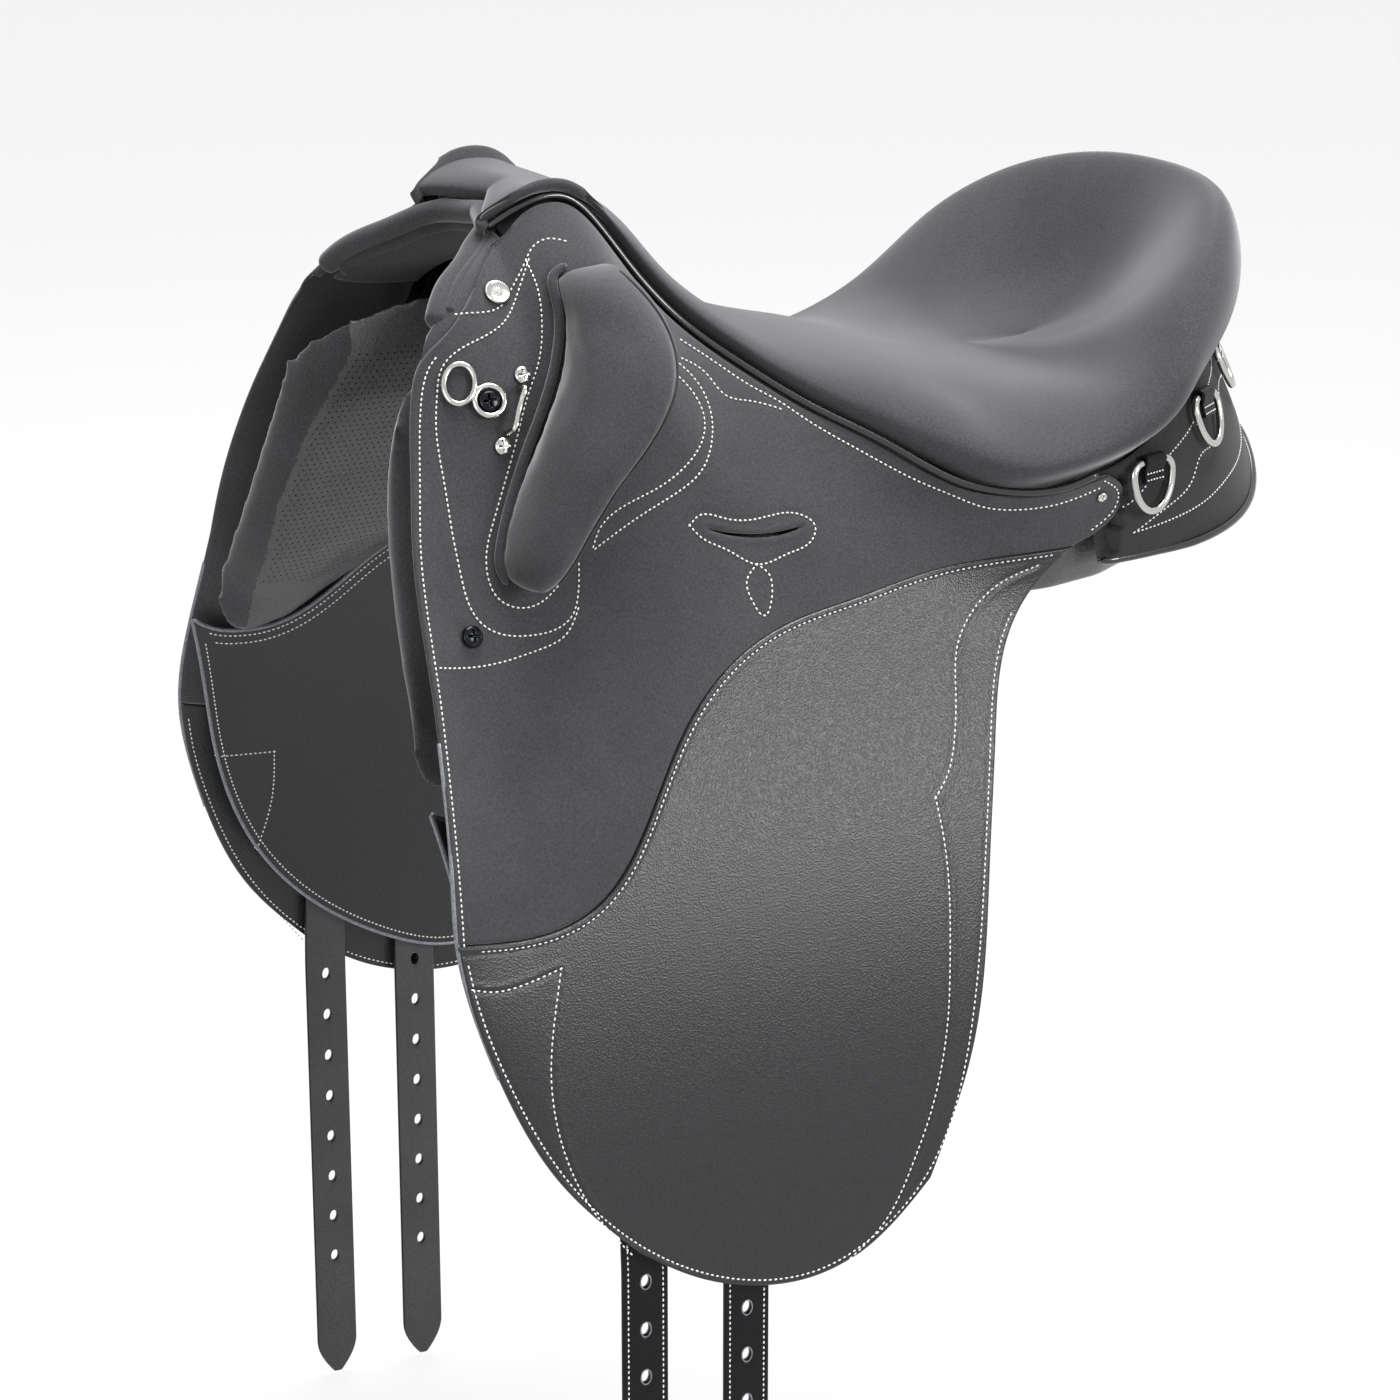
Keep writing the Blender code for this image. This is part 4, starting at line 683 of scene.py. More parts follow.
def cell_distance(tree, width, **rest):
    """Cells of that width, fixed to the object: how far each point is from its cell's middle."""
    place = add(tree, "ShaderNodeTexCoord").outputs["Object"]
    return add(tree, "ShaderNodeTexVoronoi", n0=place, Scale=1 / width, **rest).outputs["Distance"]


def tint(tree, shader, colour, factor):
    """Gives the shader a colour made lighter and darker by a factor."""
    tinted = add(tree, "ShaderNodeVectorMath", {"operation": "SCALE"}, n0=colour, n3=factor)
    tree.links.new(tinted.outputs[0], shader.inputs["Base Color"])


def bump(tree, shader, height, strength, depth):
    bumped = add(tree, "ShaderNodeBump", Strength=strength, Distance=depth, Height=height)
    tree.links.new(bumped.outputs[0], shader.inputs["Normal"])


def suede_finish(tree, shader, colour, nap):
    """Brushed nap: a speckle one fibre tuft wide, soft clouds where it was stroked, and a dry bump."""
    tufts = noise(tree, nap, Detail=2.0, Roughness=0.7)
    speck = ranged(tree, tufts, 0.72, 1.30, 0.3, 0.7)
    cloud = ranged(tree, noise(tree, STROKE, Detail=2.0), 0.90, 1.12, 0.3, 0.7)
    both = add(tree, "ShaderNodeMath", {"operation": "MULTIPLY"}, n0=speck, n1=cloud)
    tint(tree, shader, colour, both.outputs[0])
    bump(tree, shader, tufts, 0.35, 0.0004)


def leather_finish(tree, shader, colour, grain, depth, low, high):
    """Fine pebbled grain pressed in the finish coat, which breaks the gloss into small glints; its colour is
    lighter in each pebble's middle, partly the grain's tone and partly painted glints.
    """
    cells = cell_distance(tree, grain, Randomness=1.0)
    # Lighter in each pebble's middle, darker at its rim: the grain's own tone together with painted glints
    tint(tree, shader, colour, ranged(tree, cells, 1.32, 0.72, 0.0, 0.7))
    dull = ranged(tree, noise(tree, SCUFF, Detail=3.0), low, high, 0.3, 0.7)
    tree.links.new(dull, shader.inputs["Roughness"])
    bump(tree, shader, cells, 0.75, depth)


# Suedes: material, share of the suede colour, width of a tuft, and the shader's constants
SUEDES = {
    # Synthetic suede: dry and matt, with a pale bloom where the nap is seen edge on
    "suede": ("napped suede", 1.0, 0.0011, {"Roughness": 0.95, "Sheen_Weight": 0.55, "Sheen_Roughness": 0.40,
                                            "Sheen_Tint": (0.80, 0.80, 0.82, 1), "Specular_IOR_Level": 0.2}),
    # The same suede under the arch, darker and flatter: its darker colour is painted shade for the shade under
    # the arch
    "lining": ("lining suede", 0.85, 0.0011, {"Roughness": 0.97, "Sheen_Weight": 0.12, "Sheen_Roughness": 0.5,
                                              "Specular_IOR_Level": 0.2}),
    # The suede of the rear facing at half the suede colour: painted shade for the shade on the saddle's rear;
    # nearly black with little bloom
    "rear": ("facing suede", 0.5, 0.0011, {"Roughness": 0.96, "Sheen_Weight": 0.12, "Sheen_Roughness": 0.5,
                                           "Specular_IOR_Level": 0.15}),
    # The unfinished back of strap leather: short matt fibres, greyer than the face
    "flesh": ("strap flesh side", 1.0, 0.0009, {"Roughness": 0.95, "Sheen_Weight": 0.3,
                                                "Sheen_Roughness": 0.5}),
}

# Leathers: material, colour and share of it, width and depth of the grain, least and most roughness, and the
# shader's constants
LEATHERS = {
    # Drum-dyed leather with a satin finish coat: wide soft highlights over a fine pebble
    "leather": ("grained leather", "leather", 1.0, 0.0010, 0.0002, 0.32, 0.40,
                {"Specular_IOR_Level": 0.40, "IOR": 1.5}),
    # Bridle leather, waxed on its face: blacker and glossier than the flaps
    "strap": ("strap leather", "leather", 0.45, 0.0012, 0.00008, 0.30, 0.42,
              {"Specular_IOR_Level": 0.14, "IOR": 1.5}),
    # Softer lambskin-like leather over flocking: a touch paler, with a low sheen
    "panel": ("panel leather", "suede", 1.25, 0.0011, 0.00014, 0.32, 0.40,
              {"Specular_IOR_Level": 0.5, "IOR": 1.5}),
    # Patent piping over cord: near black, with one thin bright line
    "piping": ("patent piping", "piping", 1.0, 0.0014, 0.00004, 0.20, 0.28, {"Coat_Weight": 0.4,
                                                                            "Coat_Roughness": 0.12}),
    # Burnished, painted cut edge at twelve times the leather colour: a pale line of painted highlight where the
    # edge catches the light
    "edge": ("painted edge", "leather", 12.0, 0.0015, 0.00005, 0.28, 0.36, {}),
}


def sewing_thread(look):
    # Bonded nylon thread: off-white, with a faint twist
    made, tree, shader = material("sewing thread", Roughness=0.55, Sheen_Weight=0.1)
    twist = noise(tree, 0.0005, Detail=1.0)
    tint(tree, shader, tuple(look.thread), ranged(tree, twist, 0.86, 1.05, 0.3, 0.7))
    return made


def hole_painted_shade(look):
    # The inside of a punched hole, painted near black: painted shade, as no light comes back from it
    made, tree, shader = material("air hole", Specular_IOR_Level=0.1, Roughness=0.9)
    tree.links.new(ranged(tree, noise(tree, 0.0008), 0.006, 0.014), shader.inputs["Base Color"])
    return made


def metal_finish(name, colour, low, high):
    """Metal with a hand-rubbed roughness: fine scuffs a few tenths of a millimetre apart."""
    made, tree, shader = material(name, Metallic=1.0, Base_Color=(*colour, 1))
    scuffs = noise(tree, 0.0006, Detail=3.0)
    tree.links.new(ranged(tree, scuffs, low, high, 0.3, 0.7), shader.inputs["Roughness"])
    bump(tree, shader, scuffs, 0.15, 0.00003)
    return made


def polished_steel(look):
    # Polished stainless wire and screws: bright, with small soft scuffs
    return metal_finish("polished steel", tuple(look.steel), 0.10, 0.22)


def black_oxide(look):
    # Blackened screws: dark metal with a sharp glint
    return metal_finish("black oxide steel", linear("26272A"), 0.16, 0.28)


def seat_foam(look):
    # Open-cell polyurethane foam, charcoal: matt, with visible cells
    made, tree, shader = material("open cell foam", Roughness=0.95)
    cells = cell_distance(tree, 0.0012)
    tint(tree, shader, linear("48484A"), ranged(tree, cells, 0.75, 1.05))
    bump(tree, shader, cells, 0.6, 0.0005)
    return made


def moulded_nylon(look):
    # Injection-moulded tree: dark, with the fine spark of a textured tool; the spark is partly painted glints
    # in its colour
    made, tree, shader = material("moulded nylon")
    leather_finish(tree, shader, linear("1E1F21"), 0.0007, 0.00006, 0.5, 0.62)
    return made


def woven_web(look):
    # Polyester webbing that carries the straps: a plain weave with threads 1.2 mm apart
    made, tree, shader = material("woven webbing", Roughness=0.85, Sheen_Weight=0.2)
    place = add(tree, "ShaderNodeTexCoord").outputs["Object"]
    weave = add(tree, "ShaderNodeTexWave", {"wave_type": "BANDS", "bands_direction": "Z"}, n0=place,
                Scale=1 / 0.0012 / math.tau, Distortion=2.0).outputs["Fac"]
    tint(tree, shader, linear("2A2A2C"), ranged(tree, weave, 0.7, 1.2))
    bump(tree, shader, weave, 0.5, 0.0003)
    return made


MAKERS = {"thread": sewing_thread, "hole": hole_painted_shade, "steel": polished_steel, "black": black_oxide,
          "foam": seat_foam, "nylon": moulded_nylon, "web": woven_web}
FINISHES = {}


def finish(name):
    """The named finish, made when it is first asked for."""
    if name in FINISHES:
        return FINISHES[name]
    look = bpy.context.scene.saddle_finish
    if name in SUEDES:
        title, share, nap, constants = SUEDES[name]
        made, tree, shader = material(title, **constants)
        suede_finish(tree, shader, scaled(look.suede, share), nap)
    elif name in LEATHERS:
        title, dye, share, *grain, constants = LEATHERS[name]
        made, tree, shader = material(title, **constants)
        leather_finish(tree, shader, scaled(getattr(look, dye), share), *grain)
    else:
        made = MAKERS[name](look)
    FINISHES[name] = made
    return made


# Geometry Nodes trees

def new_tree(name, inputs):
    """A Geometry Nodes tree with named inputs: (name, socket type, default)."""
    tree = bpy.data.node_groups.new(name, "GeometryNodeTree")
    tree.interface.new_socket("Geometry", in_out="INPUT", socket_type="NodeSocketGeometry")
    for label, kind, default in inputs:
        socket = tree.interface.new_socket(label, in_out="INPUT", socket_type=kind)
        if default is not None:
            socket.default_value = default
    tree.interface.new_socket("Geometry", in_out="OUTPUT", socket_type="NodeSocketGeometry")
    return tree, tree.nodes.new("NodeGroupInput").outputs, tree.nodes.new("NodeGroupOutput").inputs


def faced(tree, axis, direction):
    """The turn that brings an axis round to a direction."""
    return add(tree, "FunctionNodeAlignRotationToVector", {"axis": axis}, Vector=direction).outputs[0]


def close_tree(tree, out, points, shape, turn, size, finish_socket):
    """Ends a tree: the shape on every point, made real, smooth, in one finish."""
    placed = add(tree, "GeometryNodeInstanceOnPoints", Points=points, Instance=shape, Rotation=turn,
                 Scale=size)
    real = add(tree, "GeometryNodeRealizeInstances", n0=placed.outputs[0])
    smooth = add(tree, "GeometryNodeSetShadeSmooth", Geometry=real.outputs[0])
    done = add(tree, "GeometryNodeSetMaterial", Geometry=smooth.outputs[0], Material=finish_socket)
    tree.links.new(done.outputs[0], out["Geometry"])
    return tree


def stitch_tree():
    """Stitches along the edges of a wire mesh, one at each step of the pitch."""
    tree, given, out = new_tree("stitch run", (("Pitch", "NodeSocketFloat", 0.0027),
                                               ("Length", "NodeSocketFloat", 0.0018),
                                               ("Width", "NodeSocketFloat", 0.0009),
                                               ("Thread", "NodeSocketMaterial", None)))
    curve = add(tree, "GeometryNodeMeshToCurve", n0=given["Geometry"])
    steps = add(tree, "GeometryNodeResampleCurve", {"mode": "LENGTH"}, Curve=curve.outputs[0],
                Length=given["Pitch"])
    turn = faced(tree, "X", add(tree, "GeometryNodeInputTangent").outputs[0])
    ball = add(tree, "GeometryNodeMeshUVSphere", Segments=6, Rings=4, Radius=0.5)
    size = add(tree, "ShaderNodeCombineXYZ", X=given["Length"], Y=given["Width"], Z=given["Width"])
    return close_tree(tree, out, steps.outputs[0], ball.outputs[0], turn, size.outputs[0], given["Thread"])


def perforation_tree():
    """Punched holes on a mesh of points: a shallow dark cup at each, facing the way its point faces."""
    tree, given, out = new_tree("perforations", (("Width", "NodeSocketFloat", 0.001),
                                                 ("Finish", "NodeSocketMaterial", None)))
    facing = add(tree, "GeometryNodeInputNamedAttribute", {"data_type": "FLOAT_VECTOR"}, Name="out")
    turn = faced(tree, "Z", facing.outputs[0])
    cup = add(tree, "GeometryNodeMeshUVSphere", Segments=8, Rings=4, Radius=0.5)
    flat = add(tree, "ShaderNodeCombineXYZ", X=given["Width"], Y=given["Width"], Z=0.0002)
    return close_tree(tree, out, given["Geometry"], cup.outputs[0], turn, flat.outputs[0], given["Finish"])


def screw_tree():
    """Screw heads on a mesh of points, each turned to face the way its point faces."""
    tree, given, out = new_tree("screw heads", (("Head", "NodeSocketObject", None),
                                                ("Finish", "NodeSocketMaterial", None)))
    facing = add(tree, "GeometryNodeInputNamedAttribute", {"data_type": "FLOAT_VECTOR"}, Name="out")
    size = add(tree, "GeometryNodeInputNamedAttribute", {"data_type": "FLOAT"}, Name="size")
    turn = faced(tree, "Z", facing.outputs[0])
    head = add(tree, "GeometryNodeObjectInfo", Object=given["Head"])
    return close_tree(tree, out, given["Geometry"], head.outputs["Geometry"], turn, size.outputs[0],
                      given["Finish"])


TREES = {}


def grown(name, carrier, maker, values):
    """What a tree grows on a carrier mesh, as a plain mesh object; the carrier goes."""
    if maker not in TREES:
        TREES[maker] = maker()
    step = carrier.modifiers.new("grow", "NODES")
    step.node_group = TREES[maker]
    for socket in TREES[maker].interface.items_tree:
        if socket.in_out == "INPUT" and socket.name in values:
            step[socket.identifier] = values[socket.name]
    bpy.context.view_layer.update()
    mesh = evaluated(carrier)
    mesh.name = name
    bpy.data.objects.remove(carrier)
    return add_object(name, mesh)


def points_mesh(places, outs, sizes=None):
    """A mesh of loose points with the way each faces, and its size."""
    mesh = bpy.data.meshes.new("points")
    mesh.from_pydata([tuple(p) for p in places], [], [])
    facing = mesh.attributes.new("out", "FLOAT_VECTOR", "POINT")
    facing.data.foreach_set("vector", np.asarray(outs, np.float32).reshape(-1))
    if sizes is not None:
        mesh.attributes.new("size", "FLOAT", "POINT").data.foreach_set("value", np.asarray(sizes, np.float32))
    return add_object("points", mesh)


def stitches(name, paths, pitch=1.0):
    """Stitches along 3-D paths, as one piece; pitch scales their steps and length."""
    sizes = bpy.context.scene.saddle_sizes
    vertices, edges = [], []
    for path in paths:
        path = curve_through(path, max(4, int(length_of(path) / 0.002)))
        start = len(vertices)
        vertices += [tuple(p) for p in path]
        edges += [(start + k, start + k + 1) for k in range(len(path) - 1)]
    mesh = bpy.data.meshes.new("sewn line")
    mesh.from_pydata(vertices, edges, [])
    values = {"Pitch": sizes.stitch_pitch * pitch, "Length": sizes.stitch_length * pitch,
              "Width": sizes.thread_width, "Thread": finish("thread")}
    return grown(name, add_object("sewn line", mesh), stitch_tree, values)


# Pieces

def fold_zone(side):
    """Where the suede bends as a flap is lifted: a point above the fold and one below it."""
    high, low = Vector(laid(FOLD_FRONT, side)), Vector(laid(FOLD_REAR, side))
    middle, along = (high + low) / 2, (low - high).normalized()
    down = (Vector((0, 0, -1)) + along.z * along).normalized()
    return middle - FOLD_HALF * down, middle + FOLD_HALF * down


def with_flap(made, label):
    """Bakes the object's transform; the fold zone is worked out, but nothing bends with it."""
    start, end = fold_zone(SIDES[label])
    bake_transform(made)
    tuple(start)
    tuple(end)
    return made


def lay(made, body, slot=None, stands_for=()):
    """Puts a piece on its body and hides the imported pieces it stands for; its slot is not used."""
    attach(made, body)
    if stands_for:
        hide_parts(*stands_for)
    return made


class SADDLE_OT_seat(bpy.types.Operator):
    """Suede seat cover with its foam"""
    bl_idname = "saddle.seat"
    bl_label = "Seat"

    def execute(self, context):
        net = seat_net()
        length, width, rim = 0.9, 0.22, 0.003
        down = fine_ends(length, 150, rim, last=False)
        across = fine_ends(width, 52, rim, last=False)
        cover = resample(self.turned_under(net), down, across)
        normals = even_normals(cover, 6)
        edge = rounded(across * width, rim)
        edge = np.r_[edge, edge[-2::-1]][None] * rounded(down * length, rim)[:, None]
        sink = COVER_T / 2 * (1 - edge)
        outer = cover - sink[..., None] * normals
        inner = cover - (COVER_T - sink)[..., None] * normals
        seat = shell("seat_cover_suede", outer, inner, finish("suede"), folded=True)
        lay(seat, "saddle", "suede", ("seat_cover",))
        deck = self.deck(net)
        shares = np.linspace(FOAM_START, 1, 60), np.linspace(FOAM_START, 1, 20)
        top = resample(net, *shares)
        top = top - (COVER_T + 2 * LAID) * even_normals(top, 3)
        low = resample(deck, *shares)
        low[..., 2] = np.minimum(low[..., 2], top[..., 2] - FOAM_LEAST)
        foam = shell("seat_foam_block", top, low, finish("foam"), folded=True)
        lay(foam, "saddle", "foam", ("seat_foam",))
        return {"FINISHED"}

    def turned_under(self, net):
        """The net with its edge drawn in behind the welt, the roll and the facing."""
        away = net[:, -1, :2] - net[:, 0, :2]
        away = away / np.maximum(np.linalg.norm(away, axis=1), 1e-9)[:, None]
        drop = np.where(np.arange(len(net)) < len(SEAT_WAIST), *TUCK_DROPS)
        tuck = np.c_[net[:, 0, :2] + TUCK * away, net[:, 0, 2] - drop]
        net = np.concatenate([tuck[:, None], net], axis=1)
        nose = net[0] + np.array(NOSE_TUCK)
        return np.concatenate([nose[None], net])

    def deck(self, net):
        """The surface that the foam rests on, on the net's stations."""
        stations = []
        for i, station in enumerate(net):
            rim, centre = station[0], station[4]
            run = centre[:2] - rim[:2]
            inset = rim[:2] + run * EDGE_INSET / max(np.linalg.norm(run), EDGE_INSET)
            bottom = centre[2] - COVER_T - float(spline(SEAT_FOAM, centre[0])[0])
            row = []
            for share in (1.0, 0.93, 0.78, 0.42, 0.0):
                x, y = centre[:2] + (inset - centre[:2]) * share
                height = bottom + (rim[2] - EDGE_DROP - bottom) * share ** DECK_POWER
                row.append((x + (FRONT_INSET if i == 0 else 0), y, height))
            stations.append(row)
        return np.array(stations)


class SADDLE_OT_welts(bpy.types.Operator):
    """Patent piping between seat and skirt"""
    bl_idname = "saddle.welts"
    bl_label = "Welts"

    def execute(self, context):
        for label, side in SIDES.items():
            path = curve_through([(x, side * w, z) for x, w, z in WELT], 140)
            lay(tube(f"welt_piping_{label}", path, WELT_R, 12, finish("piping")), "saddle", "piping",
                (f"welt_{label}",))
        return {"FINISHED"}


def sewn_relief(flat, paths, depth, width=0.0012):
    """How far sewn lines draw a surface in."""
    drawn = np.zeros(flat.shape[:-1])
    for path in paths:
        drawn = np.minimum(drawn, -depth * bell(nearest(flat, path), width))
    return drawn


class SADDLE_OT_flaps(bpy.types.Operator):
    """Suede skirt and flap in one piece, with the slit and the sewn lines"""
    bl_idname = "saddle.flaps"
    bl_label = "Suede flaps"

    def execute(self, context):
        for label, side in SIDES.items():
            self.suede(label, side, context.scene.saddle_sizes)
        return {"FINISHED"}

    def suede(self, label, side, sizes):
        welt = shifted(curve_through([(x, z) for x, _, z in WELT], 80), -(WELT_R + LAID * 1.5))
        top = [SKIRT_FRONT[0]] + [tuple(p) for p in welt[4:-2:6]] + [SKIRT_REAR[0]]
        fold = np.array([FOLD_FRONT, FOLD_REAR])
        width, above, below, rim = 0.37, 0.14, 0.10, 0.002
        columns = fine_ends(width, 190, rim)
        upper = fine_ends(above, 76, rim, last=False)
        lower = fine_ends(below, 62, rim, first=False)
        skirt = patch(top, fold, SKIRT_FRONT, SKIRT_REAR, columns, upper)
        flap = patch(fold, shifted(SEAM, 0.0004), FLAP_FRONT, (FOLD_REAR, SEAM[-1]), columns, lower)
        flat = np.concatenate([skirt, flap[1:]])
        from_rim = np.r_[upper * above, (1 - lower[1:]) * below]
        edge = rounded(from_rim, rim)[:, None] * rim_share(columns, width, rim)[None]
        lines = [mm(path) for path in SEWN_SUEDE] + self.edge_lines()
        relief = sewn_relief(flat, lines, sizes.sewn_dent)
        relief += self.lips(flat)
        made = side_sheet(f"flap_skirt_suede_{label}", flat, side, 0.0, FLAP_T, edge, finish("suede"), relief)
        slit = [(-side * SLIT_LENGTH / 2 * math.cos(a), SLIT_HEIGHT / 2 * math.sin(a) + self.bow(math.cos(a)))
                for a in full_turn(48)]
        cut(made, prism(slit, side_frame(SLIT_X, SLIT_Z, side), -0.02, 0.02))
        with_flap(made, label)
        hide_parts(f"skirt_{label}", f"flap_suede_{label}")
        rows = [laid(path, side, -THREAD_LIFT) for path in lines]
        with_flap(stitches(f"suede_stitches_{label}", rows), label)

    def edge_lines(self):
        front, rear = curve_through([*SKIRT_FRONT[4:], *FLAP_FRONT[1:]], 60), curve_through(SKIRT_REAR, 16)
        return [shifted(front, EDGE_SEAM)[3:], shifted(rear, -EDGE_SEAM)]

    def bow(self, along):
        """Height of the slit's middle line over SLIT_Z, from -1 at its front end to 1 at its rear end."""
        return -SLIT_SAG * (1 - along ** 2) - SLIT_TILT * along

    def lips(self, flat):
        """The leather's turned-in lips round the slit stand a little proud."""
        along = np.linspace(-1, 1, 30)
        line = np.c_[SLIT_X + SLIT_LENGTH / 2 * along, SLIT_Z + self.bow(along)]
        away = nearest(flat, line)
        return 0.0006 * bell(away - 0.0022, 0.0012) - 0.0008 * bell(away, 0.0012)


class SADDLE_OT_flap_leather(bpy.types.Operator):
    """Grained leather lower flap with its raised seam, sewn lines and a pale front edge of painted highlight"""
    bl_idname = "saddle.flap_leather"
    bl_label = "Leather flaps"

    def execute(self, context):
        for label, side in SIDES.items():
            self.leather(label, side)
        return {"FINISHED"}

    def leather(self, label, side):
        width, height, rounding = 0.40, 0.24, 0.002
        columns, rows = fine_ends(width, 170, rounding), fine_ends(height, 130, rounding)
        top = shifted(curve_through(SEAM, 60), -0.0002)
        flat = patch(top, LEATHER_FOOT, LEATHER_FRONT, LEATHER_REAR, columns, rows)
        edge = rim_shares(rows, height, columns, width, rounding)
        seam = shifted(curve_through(SEAM, 60), -0.0030)[2:-2]
        rim = curve_through([*LEATHER_FRONT, *LEATHER_FOOT[1:], *LEATHER_REAR[-2:0:-1]], 120)
        rim = shifted(rim, EDGE_SEAM)[2:-4]
        lines = [mm(path) for path in SEWN_LEATHER]
        relief = sewn_relief(flat, lines, 0.0007, 0.0009) + sewn_relief(flat, [rim], 0.0005, 0.0010)
        # The edge along the seam is turned over, with a groove under it
        from_seam = nearest(flat, curve_through(SEAM, 60))
        relief += 0.0010 * np.exp(-(from_seam / 0.0035) ** 4)
        relief -= 0.0008 * bell(from_seam - 0.0034, 0.0009)
        # The leather swells on one side of each sewn line
        for path in lines:
            relief += 0.0005 * bell(nearest(flat, shifted(curve_through(path, 30), 0.002)), 0.0012)
        body, face = f"flap_{label}", finish("leather")
        made = side_sheet(f"flap_leather_face_{label}", flat, side, 0.0, FLAP_T, edge, face, relief)
        lay(made, body, "smooth_leather", (f"flap_leather_{label}",))
        rows = [laid(path, side, 0.0001) for path in [*lines, rim]] + [laid(seam, side, -THREAD_LIFT)]
        rows.append(laid(rim, side, FLAP_T + THREAD_LIFT))
        lay(stitches(f"leather_stitches_{label}", rows, 1.12), body)
        # A pale rod along the flap's front edge in the edge finish: painted highlight where the edge catches
        # the light
        front = laid(shifted(curve_through([*FLAP_FRONT[1:], *LEATHER_FRONT[1:3]], 50), 0.0006), side, 0.002)
        lay(tube(f"flap_edge_{label}", front, 0.0013, 8, finish("edge")), body)


class SADDLE_OT_sweat_flaps(bpy.types.Operator):
    """Leather flaps under the straps, with a double-stitched top edge and pocket lines"""
    bl_idname = "saddle.sweat_flaps"
    bl_label = "Sweat flaps"

    def execute(self, context):
        width, height, rounding = 0.33, 0.25, 0.0015
        columns, rows = fine_ends(width, 130, rounding), fine_ends(height, 100, rounding)
        flat = patch(SWEAT_TOP, SWEAT_FOOT, SWEAT_FRONT, SWEAT_REAR, columns, rows)
        edge = rim_shares(rows, height, columns, width, rounding)
        top = curve_through(SWEAT_TOP, 80)
        lines = [shifted(top, -EDGE_SEAM)[3:-3], shifted(top, -0.0085)[4:-4]]
        rim = curve_through([*SWEAT_FRONT, *SWEAT_FOOT[1:]], 90)
        lines += [shifted(rim, 0.004)[4:-2]] + [mm(path) for path in SEWN_SWEAT]
        relief = sewn_relief(flat, lines, 0.0004)
        for label, side in SIDES.items():
            made = side_sheet(f"sweat_flap_leather_{label}", flat, side, SWEAT_DEPTH, SWEAT_T, edge,
                              finish("leather"), relief)
            lay(made, "saddle", "smooth_leather", (f"sweat_flap_{label}",))
            faces = [laid(path, side, SWEAT_DEPTH - THREAD_LIFT) for path in lines]
            backs = [laid(path, side, SWEAT_DEPTH + SWEAT_T + THREAD_LIFT) for path in lines]
            lay(stitches(f"sweat_stitches_{label}", faces + backs), "saddle")
            # A pale bead round the border in the edge finish: painted highlight on the raised edge
            border = np.r_[top[::-1], rim[1:]]
            bead = laid(border, side, SWEAT_DEPTH + SWEAT_T - 0.0002)
            lay(tube(f"sweat_bead_{label}", curve_through(bead, 260), 0.0011, 8, finish("edge")), "saddle")
        return {"FINISHED"}


class SADDLE_OT_arch(bpy.types.Operator):
    """Padded rolls round the arch with the lining behind them"""
    bl_idname = "saddle.arch"
    bl_label = "Arch"

    def execute(self, context):
        half = curve_through(ARCH, 60)
        path = np.concatenate([half[::-1] * np.array([1, -1, 1]), half[1:]])
        length, width, rounding = 0.28, 0.05, 0.001
        share = np.linspace(0, 1, len(path))
        blunt = 0.25 + 0.75 * rim_share(share, length, ROLL_R)
        roll = tube("arch_roll_suede", path, ROLL_R * blunt, 20, finish("suede"))
        lay(roll, "saddle", "suede", ("arch_roll",))
        along = np.gradient(path, axis=0)
        inwards = np.c_[np.zeros(len(path)), -along[:, 2], along[:, 1]]
        inwards /= -np.linalg.norm(inwards, axis=1)[:, None]
        for name, kind, behind, within, radius, sides, ends in ARCH_RODS:
            rod = path + np.array([behind, 0, 0]) + within * inwards
            lay(tube(name, rod[ends:-ends], radius, sides, finish(kind)), "saddle", "suede")
        for label, side in SIDES.items():
            self.gusset(label, side)
        shares = np.linspace(0, 1, 24)
        run = spline(np.c_[(0, 0.2, 0.6, 1), np.array(LINING)], shares)
        edge = rim_shares(share, length, shares, width, rounding)[..., None]
        back = np.array([1, 0, 0])
        middle = np.stack([path + x * back + (sink + LINING_T / 2) * inwards for x, sink in run], 1)
        reach = LINING_T / 2 * edge * inwards[:, None]
        # The lining takes the darker lining suede: painted shade under the arch
        lining = shell("arch_lining_suede", middle - reach, middle + reach, finish("lining"))
        lay(lining, "saddle", "suede", ("arch_lining",))
        return {"FINISHED"}

    def gusset(self, label, side):
        """Suede drawn from the roll over to the front of the skirt."""
        run = np.linspace(0, 1, 60)
        roll = at_shares(ARCH, 0.30 + 0.70 * run) * np.array([1, side, 1]) + np.array([0.002, 0, 0.001])
        skirt = laid(at_shares(SKIRT_FRONT[:6], run), side, FLAP_T * 0.6)
        across = np.linspace(0, 1, 20)[None, :, None]
        face = (1 - across) * roll[:, None] + across * skirt[:, None]
        normals = grid_normals(face, (-1, side, 1))
        face = face + 0.003 * 4 * across * (1 - across) * normals
        lay(shell(f"arch_gusset_{label}", face, face - 0.0015 * normals, finish("suede")), "saddle", "suede")


def surface_of(made):
    """A search tree over a mesh object's faces."""
    mesh = made.data
    return BVHTree.FromPolygons([v.co for v in mesh.vertices], [p.vertices for p in mesh.polygons])


def positions(made):
    spots = np.empty(len(made.data.vertices) * 3)
    made.data.vertices.foreach_get("co", spots)
    return spots.reshape(-1, 3)


def place_vertices(made, spots):
    made.data.vertices.foreach_set("co", np.asarray(spots, float).reshape(-1))
    made.data.update()


def ease(made, times):
    """Has the object's corners smoothed away a number of times."""
    step = made.modifiers.new("ease", "SMOOTH")
    step.factor, step.iterations = 0.5, times


def remeshed(made, voxel, times):
    """The form over again with even small faces, and its corners eased."""
    step = made.modifiers.new("remesh", "REMESH")
    step.mode, step.voxel_size, step.use_smooth_shade = "VOXEL", voxel, True
    ease(made, times)
    return settled(made)


